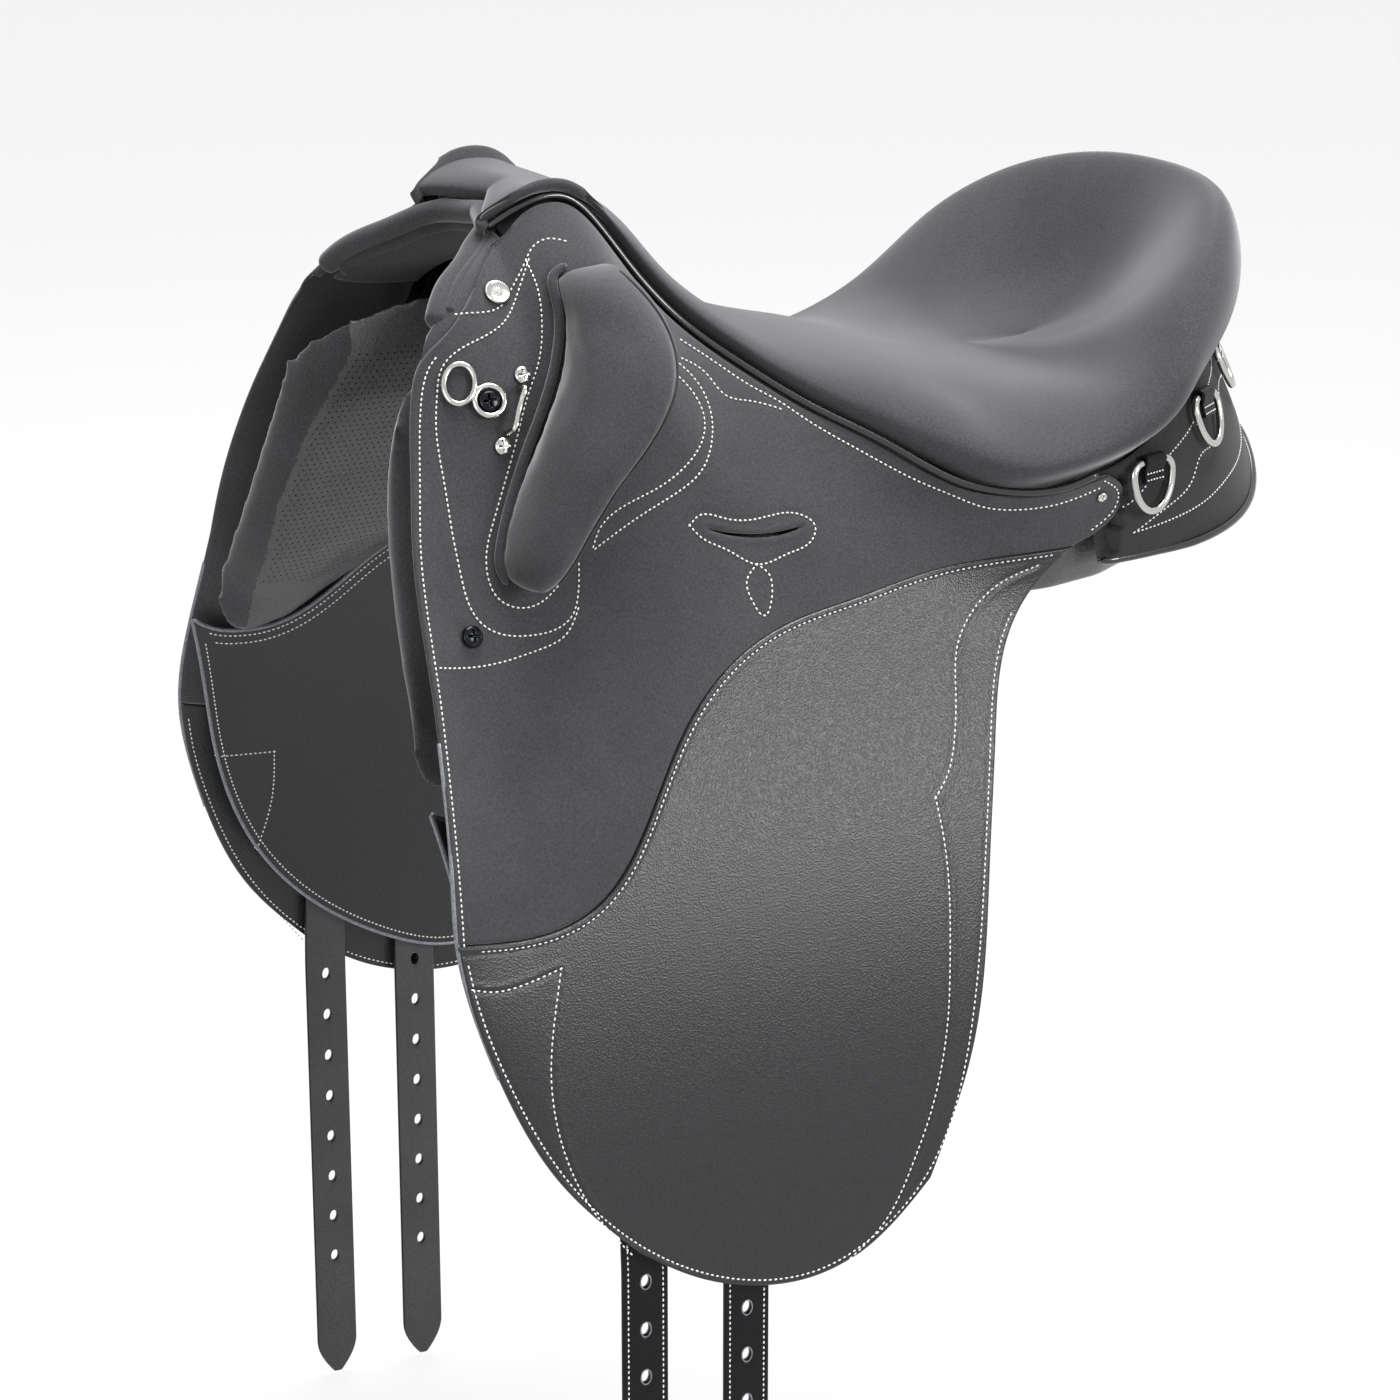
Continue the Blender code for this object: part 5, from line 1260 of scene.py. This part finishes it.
def puffed(made, pressure, most, hold):
    """Fills a closed cover like a cushion: cloth under pressure, no point moved further than most."""
    before = positions(made)
    cloth = made.modifiers.new("fill", "CLOTH")
    cloth.settings.use_pressure = True
    cloth.settings.uniform_pressure_force = pressure
    cloth.settings.effector_weights.gravity = 0
    for number in range(1, STUFFING_FRAMES + 1):
        bpy.context.scene.frame_set(number)
    settled(made)
    bpy.context.scene.frame_set(1)
    moved = positions(made) - before
    length = np.linalg.norm(moved, axis=1)
    place_vertices(made, hold(before + moved * np.minimum(1, most / np.maximum(length, 1e-9))[:, None]))
    ease(made, 10)
    rounder = made.modifiers.new("round", "SUBSURF")
    rounder.levels = rounder.render_levels = 1
    settled(made)
    made.data.polygons.foreach_set("use_smooth", [True] * len(made.data.polygons))
    return made


class SADDLE_OT_knee_pads(bpy.types.Operator):
    """Stuffed suede knee pads with their seam and piped foot"""
    bl_idname = "saddle.knee_pads"
    bl_label = "Knee pads"

    def execute(self, context):
        for label, side in SIDES.items():
            self.pad(label, side)
        return {"FINISHED"}

    def pad(self, label, side):
        rows = spline(np.c_[np.arange(len(KNEE_PAD)), KNEE_PAD], np.linspace(0, len(KNEE_PAD) - 1, 60))
        last = len(KNEE_SECTION) - 1
        section = spline(np.c_[np.arange(last + 1), KNEE_SECTION], np.linspace(0, last, 40))
        section[:, 1] = np.maximum(section[:, 1], 0)
        z, front, width, stand = rows.T
        x = front[:, None] + width[:, None] * section[None, :, 0]
        base = side_reach(x, z[:, None]) - PAD_SUNK
        proud = PAD_GAP + PAD_SUNK + PAD_STAND * stand[:, None] * section[None, :, 1]
        face = np.stack([x, side * (base + proud), np.broadcast_to(z[:, None], x.shape)], -1)
        back = np.stack([x, side * base, np.broadcast_to(z[:, None], x.shape)], -1)
        made = remeshed(shell(f"knee_pad_suede_{label}", face, back, finish("suede")), *PAD_MESH)

        def hold(spots):
            """Keeps the cover out of the skirt under it."""
            low = side_reach(spots[:, 0], spots[:, 2]) - 0.002
            spots[:, 1] = side * np.maximum(side * spots[:, 1], low)
            return spots

        puffed(made, PAD_PRESSURE, PAD_MOST, hold)
        surface = surface_of(made)
        place_vertices(made, self.drawn_in(positions(made), side, rows))
        lay(made, "saddle", "suede", (f"knee_pad_{label}",))
        seam = []
        for row in rows[3:-4]:
            start = Vector((row[1] + PAD_SEAM * row[2], side * 0.5, row[0]))
            hit = surface.ray_cast(start, Vector((0, -side, 0)))[0]
            if hit:
                seam.append(hit)
        seam = curve_through([tuple(p) for p in seam[::3]], 90)
        # The seam cord takes the darker lining suede: painted shade along the seam's crease
        lay(tube(f"knee_pad_seam_{label}", seam, 0.0007, 6, finish("lining")), "saddle")
        rim = [(r[1] - 0.0006, r[0]) for r in rows[1:-1]]
        foot = laid(curve_through(rim, 80), side, -0.0016)
        cord = PAD_CORD + PAD_CORD_SWELL * rim_share(np.linspace(0, 1, len(foot)), 0.15, 0.012)
        lay(tube(f"knee_pad_piping_{label}", foot, cord, 12, finish("suede")), "saddle")

    def drawn_in(self, spots, side, rows):
        """The seam that runs down the pad draws its cover in."""
        order = np.argsort(rows[:, 0])
        seam_x = np.interp(spots[:, 2], rows[order, 0], (rows[:, 1] + PAD_SEAM * rows[:, 2])[order])
        base = side_reach(spots[:, 0], spots[:, 2]) + PAD_GAP
        proud = side * spots[:, 1] - base
        dent = SEAM_DENT * bell(spots[:, 0] - seam_x, SEAM_DENT_W) * np.clip(proud / 0.02, 0, 1)
        spots[:, 1] -= side * dent
        return spots


class SADDLE_OT_panels(bpy.types.Operator):
    """Flocked panels: suede in front, leather behind, punched with air holes"""
    bl_idname = "saddle.panels"
    bl_label = "Panels"

    def execute(self, context):
        sizes = context.scene.saddle_sizes
        for label, side in SIDES.items():
            made = self.stuffed(label)
            self.zone(made, side)
            surface = surface_of(made)
            lay(made, "saddle", "perforated_leather", (f"panel_{label}",))
            self.holes(surface, label, side, sizes)
        return {"FINISHED"}

    def stuffed(self, label):
        shape = bmesh.new()
        shape.from_mesh(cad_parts[f"panel_{label}"].data)
        bmesh.ops.remove_doubles(shape, verts=shape.verts, dist=1e-6)
        mesh = bpy.data.meshes.new(f"panel_flocked_{label}")
        shape.to_mesh(mesh)
        shape.free()
        mesh.materials.clear()
        mesh.materials.append(finish("panel"))
        return remeshed(add_object(f"panel_flocked_{label}", mesh), *PANEL_MESH)

    def zone(self, made, side):
        """Suede where the panel shows in front of the flap; points close to its border move on to it."""
        made.data.materials.append(finish("suede"))
        spots = positions(made)
        border = np.interp(spots[:, 2], *np.array(SUEDE_BORDER).T)
        depth = np.minimum(SUEDE_REAR - spots[:, 0], np.abs(spots[:, 1]) - border)
        front_x, front_z = np.array(FACE_FRONT[::-1]).T
        depth = np.maximum(depth, np.interp(spots[:, 2], front_z, front_x) - SUEDE_BAND - spots[:, 0])
        ends = np.array([edge.vertices for edge in made.data.edges])
        ends = ends[depth[ends[:, 0]] * depth[ends[:, 1]] < 0]
        order = np.argsort(np.abs(depth[ends]), axis=1)
        close, far = np.take_along_axis(ends, order, axis=1).T
        share = depth[close] / (depth[close] - depth[far])
        spots[close] += share[:, None] * (spots[far] - spots[close])
        place_vertices(made, spots)
        depth[close] = 0
        for face in made.data.polygons:
            face.material_index = int(depth[list(face.vertices)].sum() > 0)

    def holes(self, surface, label, side, sizes):
        pitch = sizes.hole_pitch
        face = np.array([*FACE_TOP, *FACE_REAR[1:], *FACE_FOOT[-2::-1], *FACE_FRONT[-2:0:-1]])
        spots, outs = [], []
        for i, z in enumerate(np.arange(-0.07, 0.12, pitch * 0.866)):
            for x in np.arange(-0.28, -0.115, pitch) + (i % 2) * pitch / 2:
                if not inside(face, x, z):
                    continue
                hit, normal, _, _ = surface.ray_cast(Vector((x, 0, z)), Vector((0, side, 0)))
                if hit:
                    spots.append(hit + 0.00003 * normal)
                    outs.append(normal)
        if spots:
            # The hole finish paints each cup near black: painted shade inside the holes
            values = {"Width": sizes.hole_width, "Finish": finish("hole")}
            lay(grown(f"panel_holes_{label}", points_mesh(spots, outs), perforation_tree, values), "saddle")


def inside(outline, x, z):
    """Whether a point lies inside a closed outline in the x-z plane."""
    ends = np.roll(outline, -1, axis=0)
    crosses = (outline[:, 1] > z) != (ends[:, 1] > z)
    run, rise = (ends - outline).T
    where = outline[:, 0] + (z - outline[:, 1]) * run / np.where(crosses, rise, 1)
    return bool((crosses & (x < where)).sum() % 2)


def facing_grid(angles, shares):
    """The facing's outer surface at degrees round the rear and shares of its height, top to foot."""
    rows = []
    for angle in angles:
        turn, side = abs(angle), math.copysign(1, angle)
        top = np.array([*oval([r - FACING_TUCK for r in CANTLE_EDGE], turn),
                        float(spline(CANTLE_EDGE_Z, turn)[0]) - FACING_BELOW])
        foot = np.array([*oval(FACING_FOOT, turn, FACING_POWER), float(spline(FACING_FOOT_Z, turn)[0])])
        out = np.array([math.cos(math.radians(turn)), math.sin(math.radians(turn)), 0])
        row = [top + (foot - top) * s + FACING_SWELL * 4 * s * (1 - s) * out for s in shares]
        rows.append(np.array(row) * np.array([1, side, 1]))
    return np.array(rows)


class SADDLE_OT_facing(bpy.types.Operator):
    """Suede facing round the rear, with its sewn lines and piped foot"""
    bl_idname = "saddle.facing"
    bl_label = "Rear facing"

    def execute(self, context):
        angles = np.linspace(-FACING_REACH, FACING_REACH, 180)
        height, rounding = 0.08, 0.0012
        shares = fine_ends(height, 34, rounding)
        outer = facing_grid(angles, shares)
        normals = grid_normals(outer, (1, 0, 0.1))
        edge = rim_share(shares, height, rounding)[None, :, None]
        sink = FACING_T / 2 * (1 - edge)
        face, back = outer - sink * normals, outer - (FACING_T - sink) * normals
        for grid in (face, back):
            low = np.sign(grid[..., 1]) * np.minimum(
                np.abs(grid[..., 1]), side_reach(grid[..., 0], grid[..., 2]) - FLAP_T - 0.001)
            grid[..., 1] = np.where(grid[..., 0] < REAR_SCREW[0] + 0.012, low, grid[..., 1])
        # The facing takes the darker rear suede: painted shade on the saddle's rear
        made = shell("rear_facing_suede", face, back, finish("rear"))
        lay(made, "saddle", "suede", ("rear_facing",))
        surface = surface_of(made)
        out = np.clip((FACING_SIDE - np.abs(angles)) / 8, 0, 1)[:, None]
        foot = (face[:, -1] + back[:, -1]) / 2 + 0.0016 * out * normals[:, -1]
        cord = 0.0021 * rounded((FACING_REACH - np.abs(angles)) * 0.002, 0.004) + 0.0002
        lay(tube("facing_piping", foot, cord, 10, finish("piping")), "saddle", "piping")
        paths = []
        for line in SEWN_FACING:
            run = curve_through(line, 60)
            for side in (LEFT, RIGHT):
                path = [facing_grid([side * a], (s,))[0, 0] for a, s in run]
                paths.append([surface.find_nearest(Vector(p))[0] for p in path])
        lay(stitches("facing_stitches", paths), "saddle")
        return {"FINISHED"}


def dee_places(side):
    """The frames of the rear dees: Z out of the facing, Y up."""
    angles = np.linspace(-FACING_SIDE, FACING_SIDE, 23)
    grid = facing_grid(angles, (0.0, 0.33, 0.67, 1.0))
    normals = grid_normals(grid, (1, 0, 0.1))
    stand = KEEPER_SEAT + WIRE_R + KEEPER_ROOM + KEEPER_T
    for name, angle in DEE_ANGLES.items():
        column = np.interp(side * angle, angles, np.arange(len(angles)))
        row = (1 - DEE_HEIGHT) * 3
        place, out = (Vector(between(field, column, row)) for field in (grid, normals))
        out.normalize()
        yield name, frame_at(place + stand * out, out)


def between(grid, row, column):
    """A point of a grid between its rows and columns."""
    r, c = int(row), int(column)
    u, v = row - r, column - c
    near = (1 - v) * grid[r, c] + v * grid[r, c + 1]
    far = (1 - v) * grid[r + 1, c] + v * grid[r + 1, c + 1]
    return (1 - u) * near + u * far


class SADDLE_OT_dees(bpy.types.Operator):
    """Polished dees at the rear in their leather keepers"""
    bl_idname = "saddle.dees"
    bl_label = "Rear dees"

    def execute(self, context):
        for label, side in SIDES.items():
            for name, place in dee_places(side):
                self.keeper(f"{name}_{label}", place)
                self.dee(f"{name}_{label}", place)
        return {"FINISHED"}

    def dee(self, end, place):
        half, corner = DEE_BAR / 2, 3 * WIRE_R
        path = [(x, 0, 0) for x in np.linspace(-half + corner, half - corner, 12)]
        path += [(half - corner + corner * math.sin(a), -corner + corner * math.cos(a), 0)
                 for a in np.radians(np.linspace(10, 90, 9))]
        path += [(half * math.cos(a), -corner - (DEE_DROP - corner) * math.sin(a), 0)
                 for a in np.radians(np.linspace(4, 176, 44))]
        path += [(-half + corner - corner * math.cos(a), -corner + corner * math.sin(a), 0)
                 for a in np.radians(np.linspace(0, 80, 9))]
        path = [place @ Vector(p) for p in path]
        wire = tube(f"dee_wire_{end}", path, WIRE_R, 16, finish("steel"), closed=True)
        lay(wire, f"rear_dee_{end}", "steel", (f"rear_dee_{end}",))

    def keeper(self, end, place):
        radius, apart = WIRE_R + KEEPER_ROOM + KEEPER_T / 2, KEEPER_T / 2 + 0.0001
        first = math.degrees(math.asin(apart / radius))
        tail = np.linspace(-KEEPER_TAIL, -radius - 0.001, 12)
        line = [(-apart, y) for y in tail]
        line += [(radius * math.cos(a), radius * math.sin(a))
                 for a in np.radians(np.linspace(-90 - first, first - 360, 36))]
        line += [(apart, y) for y in tail[::-1]]
        line = np.array(line)
        shares = fine_ends(KEEPER_W, 8, 0.0006)
        across = (shares - 0.5) * KEEPER_W
        edge = rim_share(shares, KEEPER_W, 0.0006)
        grids = []
        for sign in (1, -1):
            points = line[:, None] + sign * KEEPER_T / 2 * sideways(line)[:, None] * edge[None, :, None]
            grids.append(np.array([[tuple(place @ Vector((a, p[1], p[0]))) for a, p in zip(across, row)]
                                   for row in points]))
        made = shell(f"dee_keeper_leather_{end}", *grids, finish("strap"))
        lay(made, "saddle", "smooth_leather", (f"dee_keeper_{end}",))
        rows = [[place @ Vector((a, y, apart + KEEPER_T / 2)) for a in (-KEEPER_W * 0.38, 0, KEEPER_W * 0.38)]
                for y in (-radius - 0.0025, -KEEPER_TAIL + 0.0018)]
        lay(stitches(f"keeper_stitches_{end}", rows, 0.8), "saddle")


class SADDLE_OT_straps(bpy.types.Operator):
    """Girth straps with punched holes and pointed tips, and the webbing that carries them"""
    bl_idname = "saddle.straps"
    bl_label = "Girth straps"

    def execute(self, context):
        for label, side in SIDES.items():
            for end, x in STRAP_X.items():
                self.strap(end, label, x, side)
            self.hanger(label, side)
        return {"FINISHED"}

    def strap(self, end, label, x, side):
        length, point, rounding = STRAP_TOP - STRAP_TIP, 0.03, 0.0009
        fine = np.linspace(point, 0, 26) ** 1.5 / point ** 0.5 / length
        rows = np.r_[np.linspace(0, 1 - point / length, 150)[:-1], 1 - fine]
        columns = fine_ends(STRAP_W, 12, rounding)
        z = STRAP_TOP - length * rows
        tip = np.clip((z - STRAP_TIP) / STRAP_POINT, 0, 1)
        half = 0.002 + (STRAP_W / 2 - 0.002) * np.sin(tip * math.pi / 2) ** 0.9
        reach = side_reach(x, np.maximum(z, STRAP_HANG_Z)) - STRAP_DEPTH - STRAP_T / 2
        across = np.minimum(columns, 1 - columns) * 2 * half[:, None]
        edge = rounded(across, rounding) * rim_share(rows, length, rounding)[:, None]
        groove = -0.0003 * bell(across - STRAP_SEAM, 0.0006)
        xs = x + (columns[None] * 2 - 1) * half[:, None]
        grids = []
        for sign in (1, -1):
            out = STRAP_T / 2 * edge + (groove * edge if sign == 1 else 0)
            grids.append(np.stack([xs, side * (reach[:, None] + sign * out),
                                   np.broadcast_to(z[:, None], xs.shape)], -1))
        made = shell(f"strap_leather_{end}_{label}", *grids, finish("strap"))
        made.data.materials.append(finish("flesh"))
        for face in made.data.polygons:
            face.material_index = int(face.normal.y * side < -0.6)
        low = float(reach[-1])
        rim = [(HOLE_W / 2 * math.cos(a), HOLE_H / 2 * math.sin(a)) for a in full_turn(20)]
        rims = []
        for k in range(HOLE_COUNT):
            place = frame_at(Vector((x, side * low, STRAP_TIP + HOLE_FIRST + k * HOLE_PITCH)), (0, side, 0))
            cut(made, prism(rim, place, -0.01, 0.01))
            # Pale rims round each hole in the edge finish: painted highlight on the holes' cut edges
            border = [place @ Vector((a * 1.14, b * 1.10, STRAP_T / 2)) for a, b in rim]
            rims.append(tube("rim", border, 0.0004, 6, finish("edge"), closed=True))
        body = f"girth_strap_{end}_{label}"
        lay(made, body, "smooth_leather", (f"girth_strap_{end}_{label}",))
        lay(joined(f"strap_hole_rims_{end}_{label}", rims), body)
        shown, face = z < STRAP_TOP - 0.01, side * (reach + STRAP_T / 2 - 0.0001)
        paths = [np.stack([x + sign * (half - STRAP_SEAM), face, z], -1)[shown][:-9:4] for sign in (-1, 1)]
        sewn = stitches(f"strap_stitches_{end}_{label}", paths, 1.1)
        # The strap's stitches take the same pale edge finish, here as the colour of their thread
        sewn.data.materials[0] = finish("edge")
        lay(sewn, body)

    def hanger(self, label, side):
        width, height, rounding = HANGER_REAR - HANGER_FRONT, HANGER_TOP - HANGER_FOOT, 0.001
        columns, rows = fine_ends(width, 40, rounding), fine_ends(height, 24, rounding)
        edge = rim_shares(rows, height, columns, width, rounding)
        flat = np.stack(np.meshgrid(HANGER_FRONT + width * columns, HANGER_TOP - height * rows), -1)
        made = side_sheet(f"strap_web_{label}", flat, side, HANGER_DEPTH, HANGER_T, edge, finish("web"))
        lay(made, "saddle", None, (f"strap_hanger_{label}",))


class SADDLE_OT_fittings(bpy.types.Operator):
    """Screws, oval dee, rod loop and plain disc on the front of the skirt"""
    bl_idname = "saddle.fittings"
    bl_label = "Front fittings"

    def execute(self, context):
        for label, side in SIDES.items():
            self.oval_dee(label, side)
            self.rod(label, side)
            self.badge(label, side)
            self.screws(label, side)
        return {"FINISHED"}

    def head(self):
        """A domed screw head of radius one with a cross recess."""
        high = HEAD_H / BLACK_SCREW_R
        profile = [(1.0, 0.0), (1.0, high * 0.35), (0.97, high * 0.5)]
        profile += [(math.cos(a) * 0.97, high * (0.5 + 0.5 * math.sin(a)))
                    for a in np.radians((20, 40, 60, 75))]
        made = lathed("head", profile, 28, Matrix(), finish("steel"))
        arm, wide = 0.62, 0.13
        cross = [(arm, -wide), (arm, wide), (wide, wide), (wide, arm), (-wide, arm), (-wide, wide),
                 (-arm, wide), (-arm, -wide), (-wide, -wide), (-wide, -arm), (wide, -arm), (wide, -wide)]
        return cut(made, prism(cross, Matrix(), high * 0.45, high * 1.5))

    def screws(self, label, side):
        head = self.head()
        for kind, slot, rows in SCREWS:
            frames = [side_frame(*spot, side, -stand) for _, spot, _, stand in rows]
            carrier = points_mesh([f.translation for f in frames], [f.col[2][:3] for f in frames],
                                  [radius for _, _, radius, _ in rows])
            values = {"Head": head, "Finish": finish(kind)}
            lay(grown(f"{kind}_screws_{label}", carrier, screw_tree, values), "saddle", slot,
                [f"{row[0]}_{label}" for row in rows])
        bpy.data.objects.remove(head)

    def badge(self, label, side):
        profile = [(BADGE_R * radius, BADGE_T * height) for radius, height in BADGE_SHAPE]
        place = side_frame(*BADGE, side, -HEAD_STAND)
        made = lathed(f"badge_disc_{label}", profile, 40, place, finish("steel"))
        lay(made, "saddle", "steel", (f"badge_{label}",))

    def oval_dee(self, label, side):
        lift = OVAL_WIRE_R + HEAD_STAND
        lean = Matrix.Rotation(math.radians(OVAL_LEAN) * side, 4, "Z")
        radius = BLACK_SCREW_R + EYE_GAP + OVAL_WIRE_R
        eye = self.ring("eye", side_frame(*OVAL_SCREW, side, -lift), radius, radius)
        made = self.ring(f"oval_wire_{label}", side_frame(*OVAL_DEE, side, -lift) @ lean, OVAL_W, OVAL_H)
        lay(cut(made, eye, "UNION"), "saddle", "steel", (f"oval_dee_{label}",))

    def ring(self, name, place, wide, high):
        """An oval of wire in a frame's plane."""
        path = [place @ Vector((wide * math.cos(a), high * math.sin(a), 0)) for a in full_turn(60)]
        return tube(name, path, OVAL_WIRE_R, 14, finish("steel"), closed=True)

    def rod(self, label, side):
        upper, lower = (np.array(spot) for spot in BAR_SCREWS)
        along = (lower - upper) / np.linalg.norm(lower - upper)
        clear = STEEL_SCREW_R + ROD_R + 0.0002
        ends = []
        for spot, sign in ((upper, 1), (lower, -1)):
            foot = spot + sign * along * clear
            low = side_frame(*foot, side, -(ROD_R * 0.3 + HEAD_STAND)).translation
            high = side_frame(*(foot + sign * along * ROD_R), side, -ROD_STAND).translation
            ends.append([low, low.lerp(high, 0.4), low.lerp(high, 0.75), high])
        loop = ends[0] + [ends[0][3].lerp(ends[1][3], 0.5)] + ends[1][::-1]
        path = curve_through([tuple(p) for p in loop], 70)
        made = tube(f"rod_loop_{label}", path, ROD_R, 16, finish("steel"))
        lay(made, "saddle", "steel", (f"strap_bar_{label}",))


class SADDLE_OT_frame_finishes(bpy.types.Operator):
    """Finishes of the tree, gullet plate and stirrup bars, which stay as packed"""
    bl_idname = "saddle.frame_finishes"
    bl_label = "Tree and metal finishes"

    def execute(self, context):
        kinds = {"tree": "nylon", "gullet_plate": "steel"}
        kinds.update({f"stirrup_bar_{label}": "steel" for label in SIDES})
        for node, kind in kinds.items():
            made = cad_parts[node]
            for slot in made.material_slots:
                slot.material = finish(kind)
        return {"FINISHED"}


class SADDLE_OT_stage(bpy.types.Operator):
    """Pale floor, soft lights and the camera"""
    bl_idname = "saddle.stage"
    bl_label = "Stage"

    def execute(self, context):
        self.floor()
        self.lights()
        self.world()
        self.camera(context.scene)
        context.scene.view_settings.view_transform = "Standard"
        return {"FINISHED"}

    def seen(self, tree):
        """One for the camera's, glossy and transmitted rays, nought for the rest."""
        rays = add(tree, "ShaderNodeLightPath").outputs
        pair = add(tree, "ShaderNodeMath", {"operation": "MAXIMUM"}, n0=rays["Is Camera Ray"],
                   n1=rays["Is Glossy Ray"])
        return add(tree, "ShaderNodeMath", {"operation": "MAXIMUM"}, n0=pair.outputs[0],
                   n1=rays["Is Transmission Ray"])

    def floor(self):
        # Painted studio floor: white to the camera, but it keeps some of the saddle's shadow
        made, tree, shader = material("painted floor", Roughness=0.9)
        place = add(tree, "ShaderNodeTexCoord").outputs["Object"]
        mottle = add(tree, "ShaderNodeTexNoise", n0=place, Scale=3.0)
        tree.links.new(ranged(tree, mottle.outputs["Fac"], 0.80, 0.84), shader.inputs["Base Color"])
        seen = self.seen(tree)
        white = add(tree, "ShaderNodeEmission", Color=(1, 1, 1, 1), Strength=1.0)
        share = add(tree, "ShaderNodeMath", {"operation": "MULTIPLY"}, n0=seen.outputs[0],
                    n1=FLOOR_WHITE)
        both = add(tree, "ShaderNodeMixShader", n0=share.outputs[0], n1=shader.outputs[0],
                   n2=white.outputs[0])
        tree.links.new(both.outputs[0], tree.nodes["Material Output"].inputs["Surface"])
        reach, level = 6.0, STRAP_TIP - 0.002
        mesh = bpy.data.meshes.new("floor")
        mesh.from_pydata([(-reach, -reach, level), (reach, -reach, level), (reach, reach, level),
                          (-reach, reach, level)], [], [(0, 1, 2, 3)])
        mesh.materials.append(made)
        add_object("floor", mesh)

    def lights(self):
        for name, place, power, size in LIGHTS:
            lamp = bpy.data.lights.new(name, "AREA")
            lamp.energy, lamp.size = power, size
            made = add_object(name, lamp)
            made.location = place
            made.rotation_euler = (Vector(place) - Vector(LIT_SPOT)).to_track_quat("Z", "Y").to_euler()

    def world(self):
        world = bpy.data.worlds.new("studio")
        bpy.context.scene.world = world
        world.use_nodes = True
        tree = world.node_tree
        seen = self.seen(tree)
        back = tree.nodes["Background"]
        back.inputs["Color"].default_value = (1, 1, 1, 1)
        tree.links.new(ranged(tree, seen.outputs[0], AMBIENT, 1.0), back.inputs["Strength"])

    def camera(self, scene):
        azimuth, elevation = np.radians(VIEW_ANGLES)
        back = Vector((math.sin(azimuth) * math.cos(elevation), -math.cos(azimuth) * math.cos(elevation),
                       math.sin(elevation)))
        lens = bpy.data.cameras.new("camera")
        lens.lens, lens.sensor_width = FOCUS_SHARE * SENSOR, SENSOR
        made = add_object("camera", lens)
        made.location = Vector(VIEWED_SPOT) + VIEW_DISTANCE * back
        made.rotation_euler = back.to_track_quat("Z", "Y").to_euler()
        scene.camera = made


PIECES = (SADDLE_OT_frame_finishes, SADDLE_OT_seat, SADDLE_OT_welts, SADDLE_OT_flaps, SADDLE_OT_flap_leather,
          SADDLE_OT_sweat_flaps, SADDLE_OT_arch, SADDLE_OT_knee_pads, SADDLE_OT_panels, SADDLE_OT_facing,
          SADDLE_OT_dees, SADDLE_OT_straps, SADDLE_OT_fittings, SADDLE_OT_stage)


class SADDLE_PT_panel(bpy.types.Panel):
    """Sizes, finishes and pieces of the saddle"""
    bl_idname = "SADDLE_PT_panel"
    bl_label = "Stock saddle"
    bl_space_type = "VIEW_3D"
    bl_region_type = "UI"
    bl_category = "Saddle"

    def draw(self, context):
        for group in (context.scene.saddle_sizes, context.scene.saddle_finish):
            box = self.layout.box()
            for name in group.bl_rna.properties.keys():
                if name not in ("rna_type", "name"):
                    box.prop(group, name)
        column = self.layout.column(align=True)
        for operator in PIECES:
            column.operator(operator.bl_idname)


CLASSES = (SaddleSizes, SaddleFinish, *PIECES, SADDLE_PT_panel)


def register():
    for made in CLASSES:
        bpy.utils.register_class(made)
    bpy.types.Scene.saddle_sizes = bpy.props.PointerProperty(type=SaddleSizes)
    bpy.types.Scene.saddle_finish = bpy.props.PointerProperty(type=SaddleFinish)


def unregister():
    del bpy.types.Scene.saddle_finish
    del bpy.types.Scene.saddle_sizes
    for made in reversed(CLASSES):
        bpy.utils.unregister_class(made)


def main():
    register()
    for operator in PIECES:
        group, name = operator.bl_idname.split(".")
        getattr(getattr(bpy.ops, group), name)()


if __name__ == "__main__":
    main()
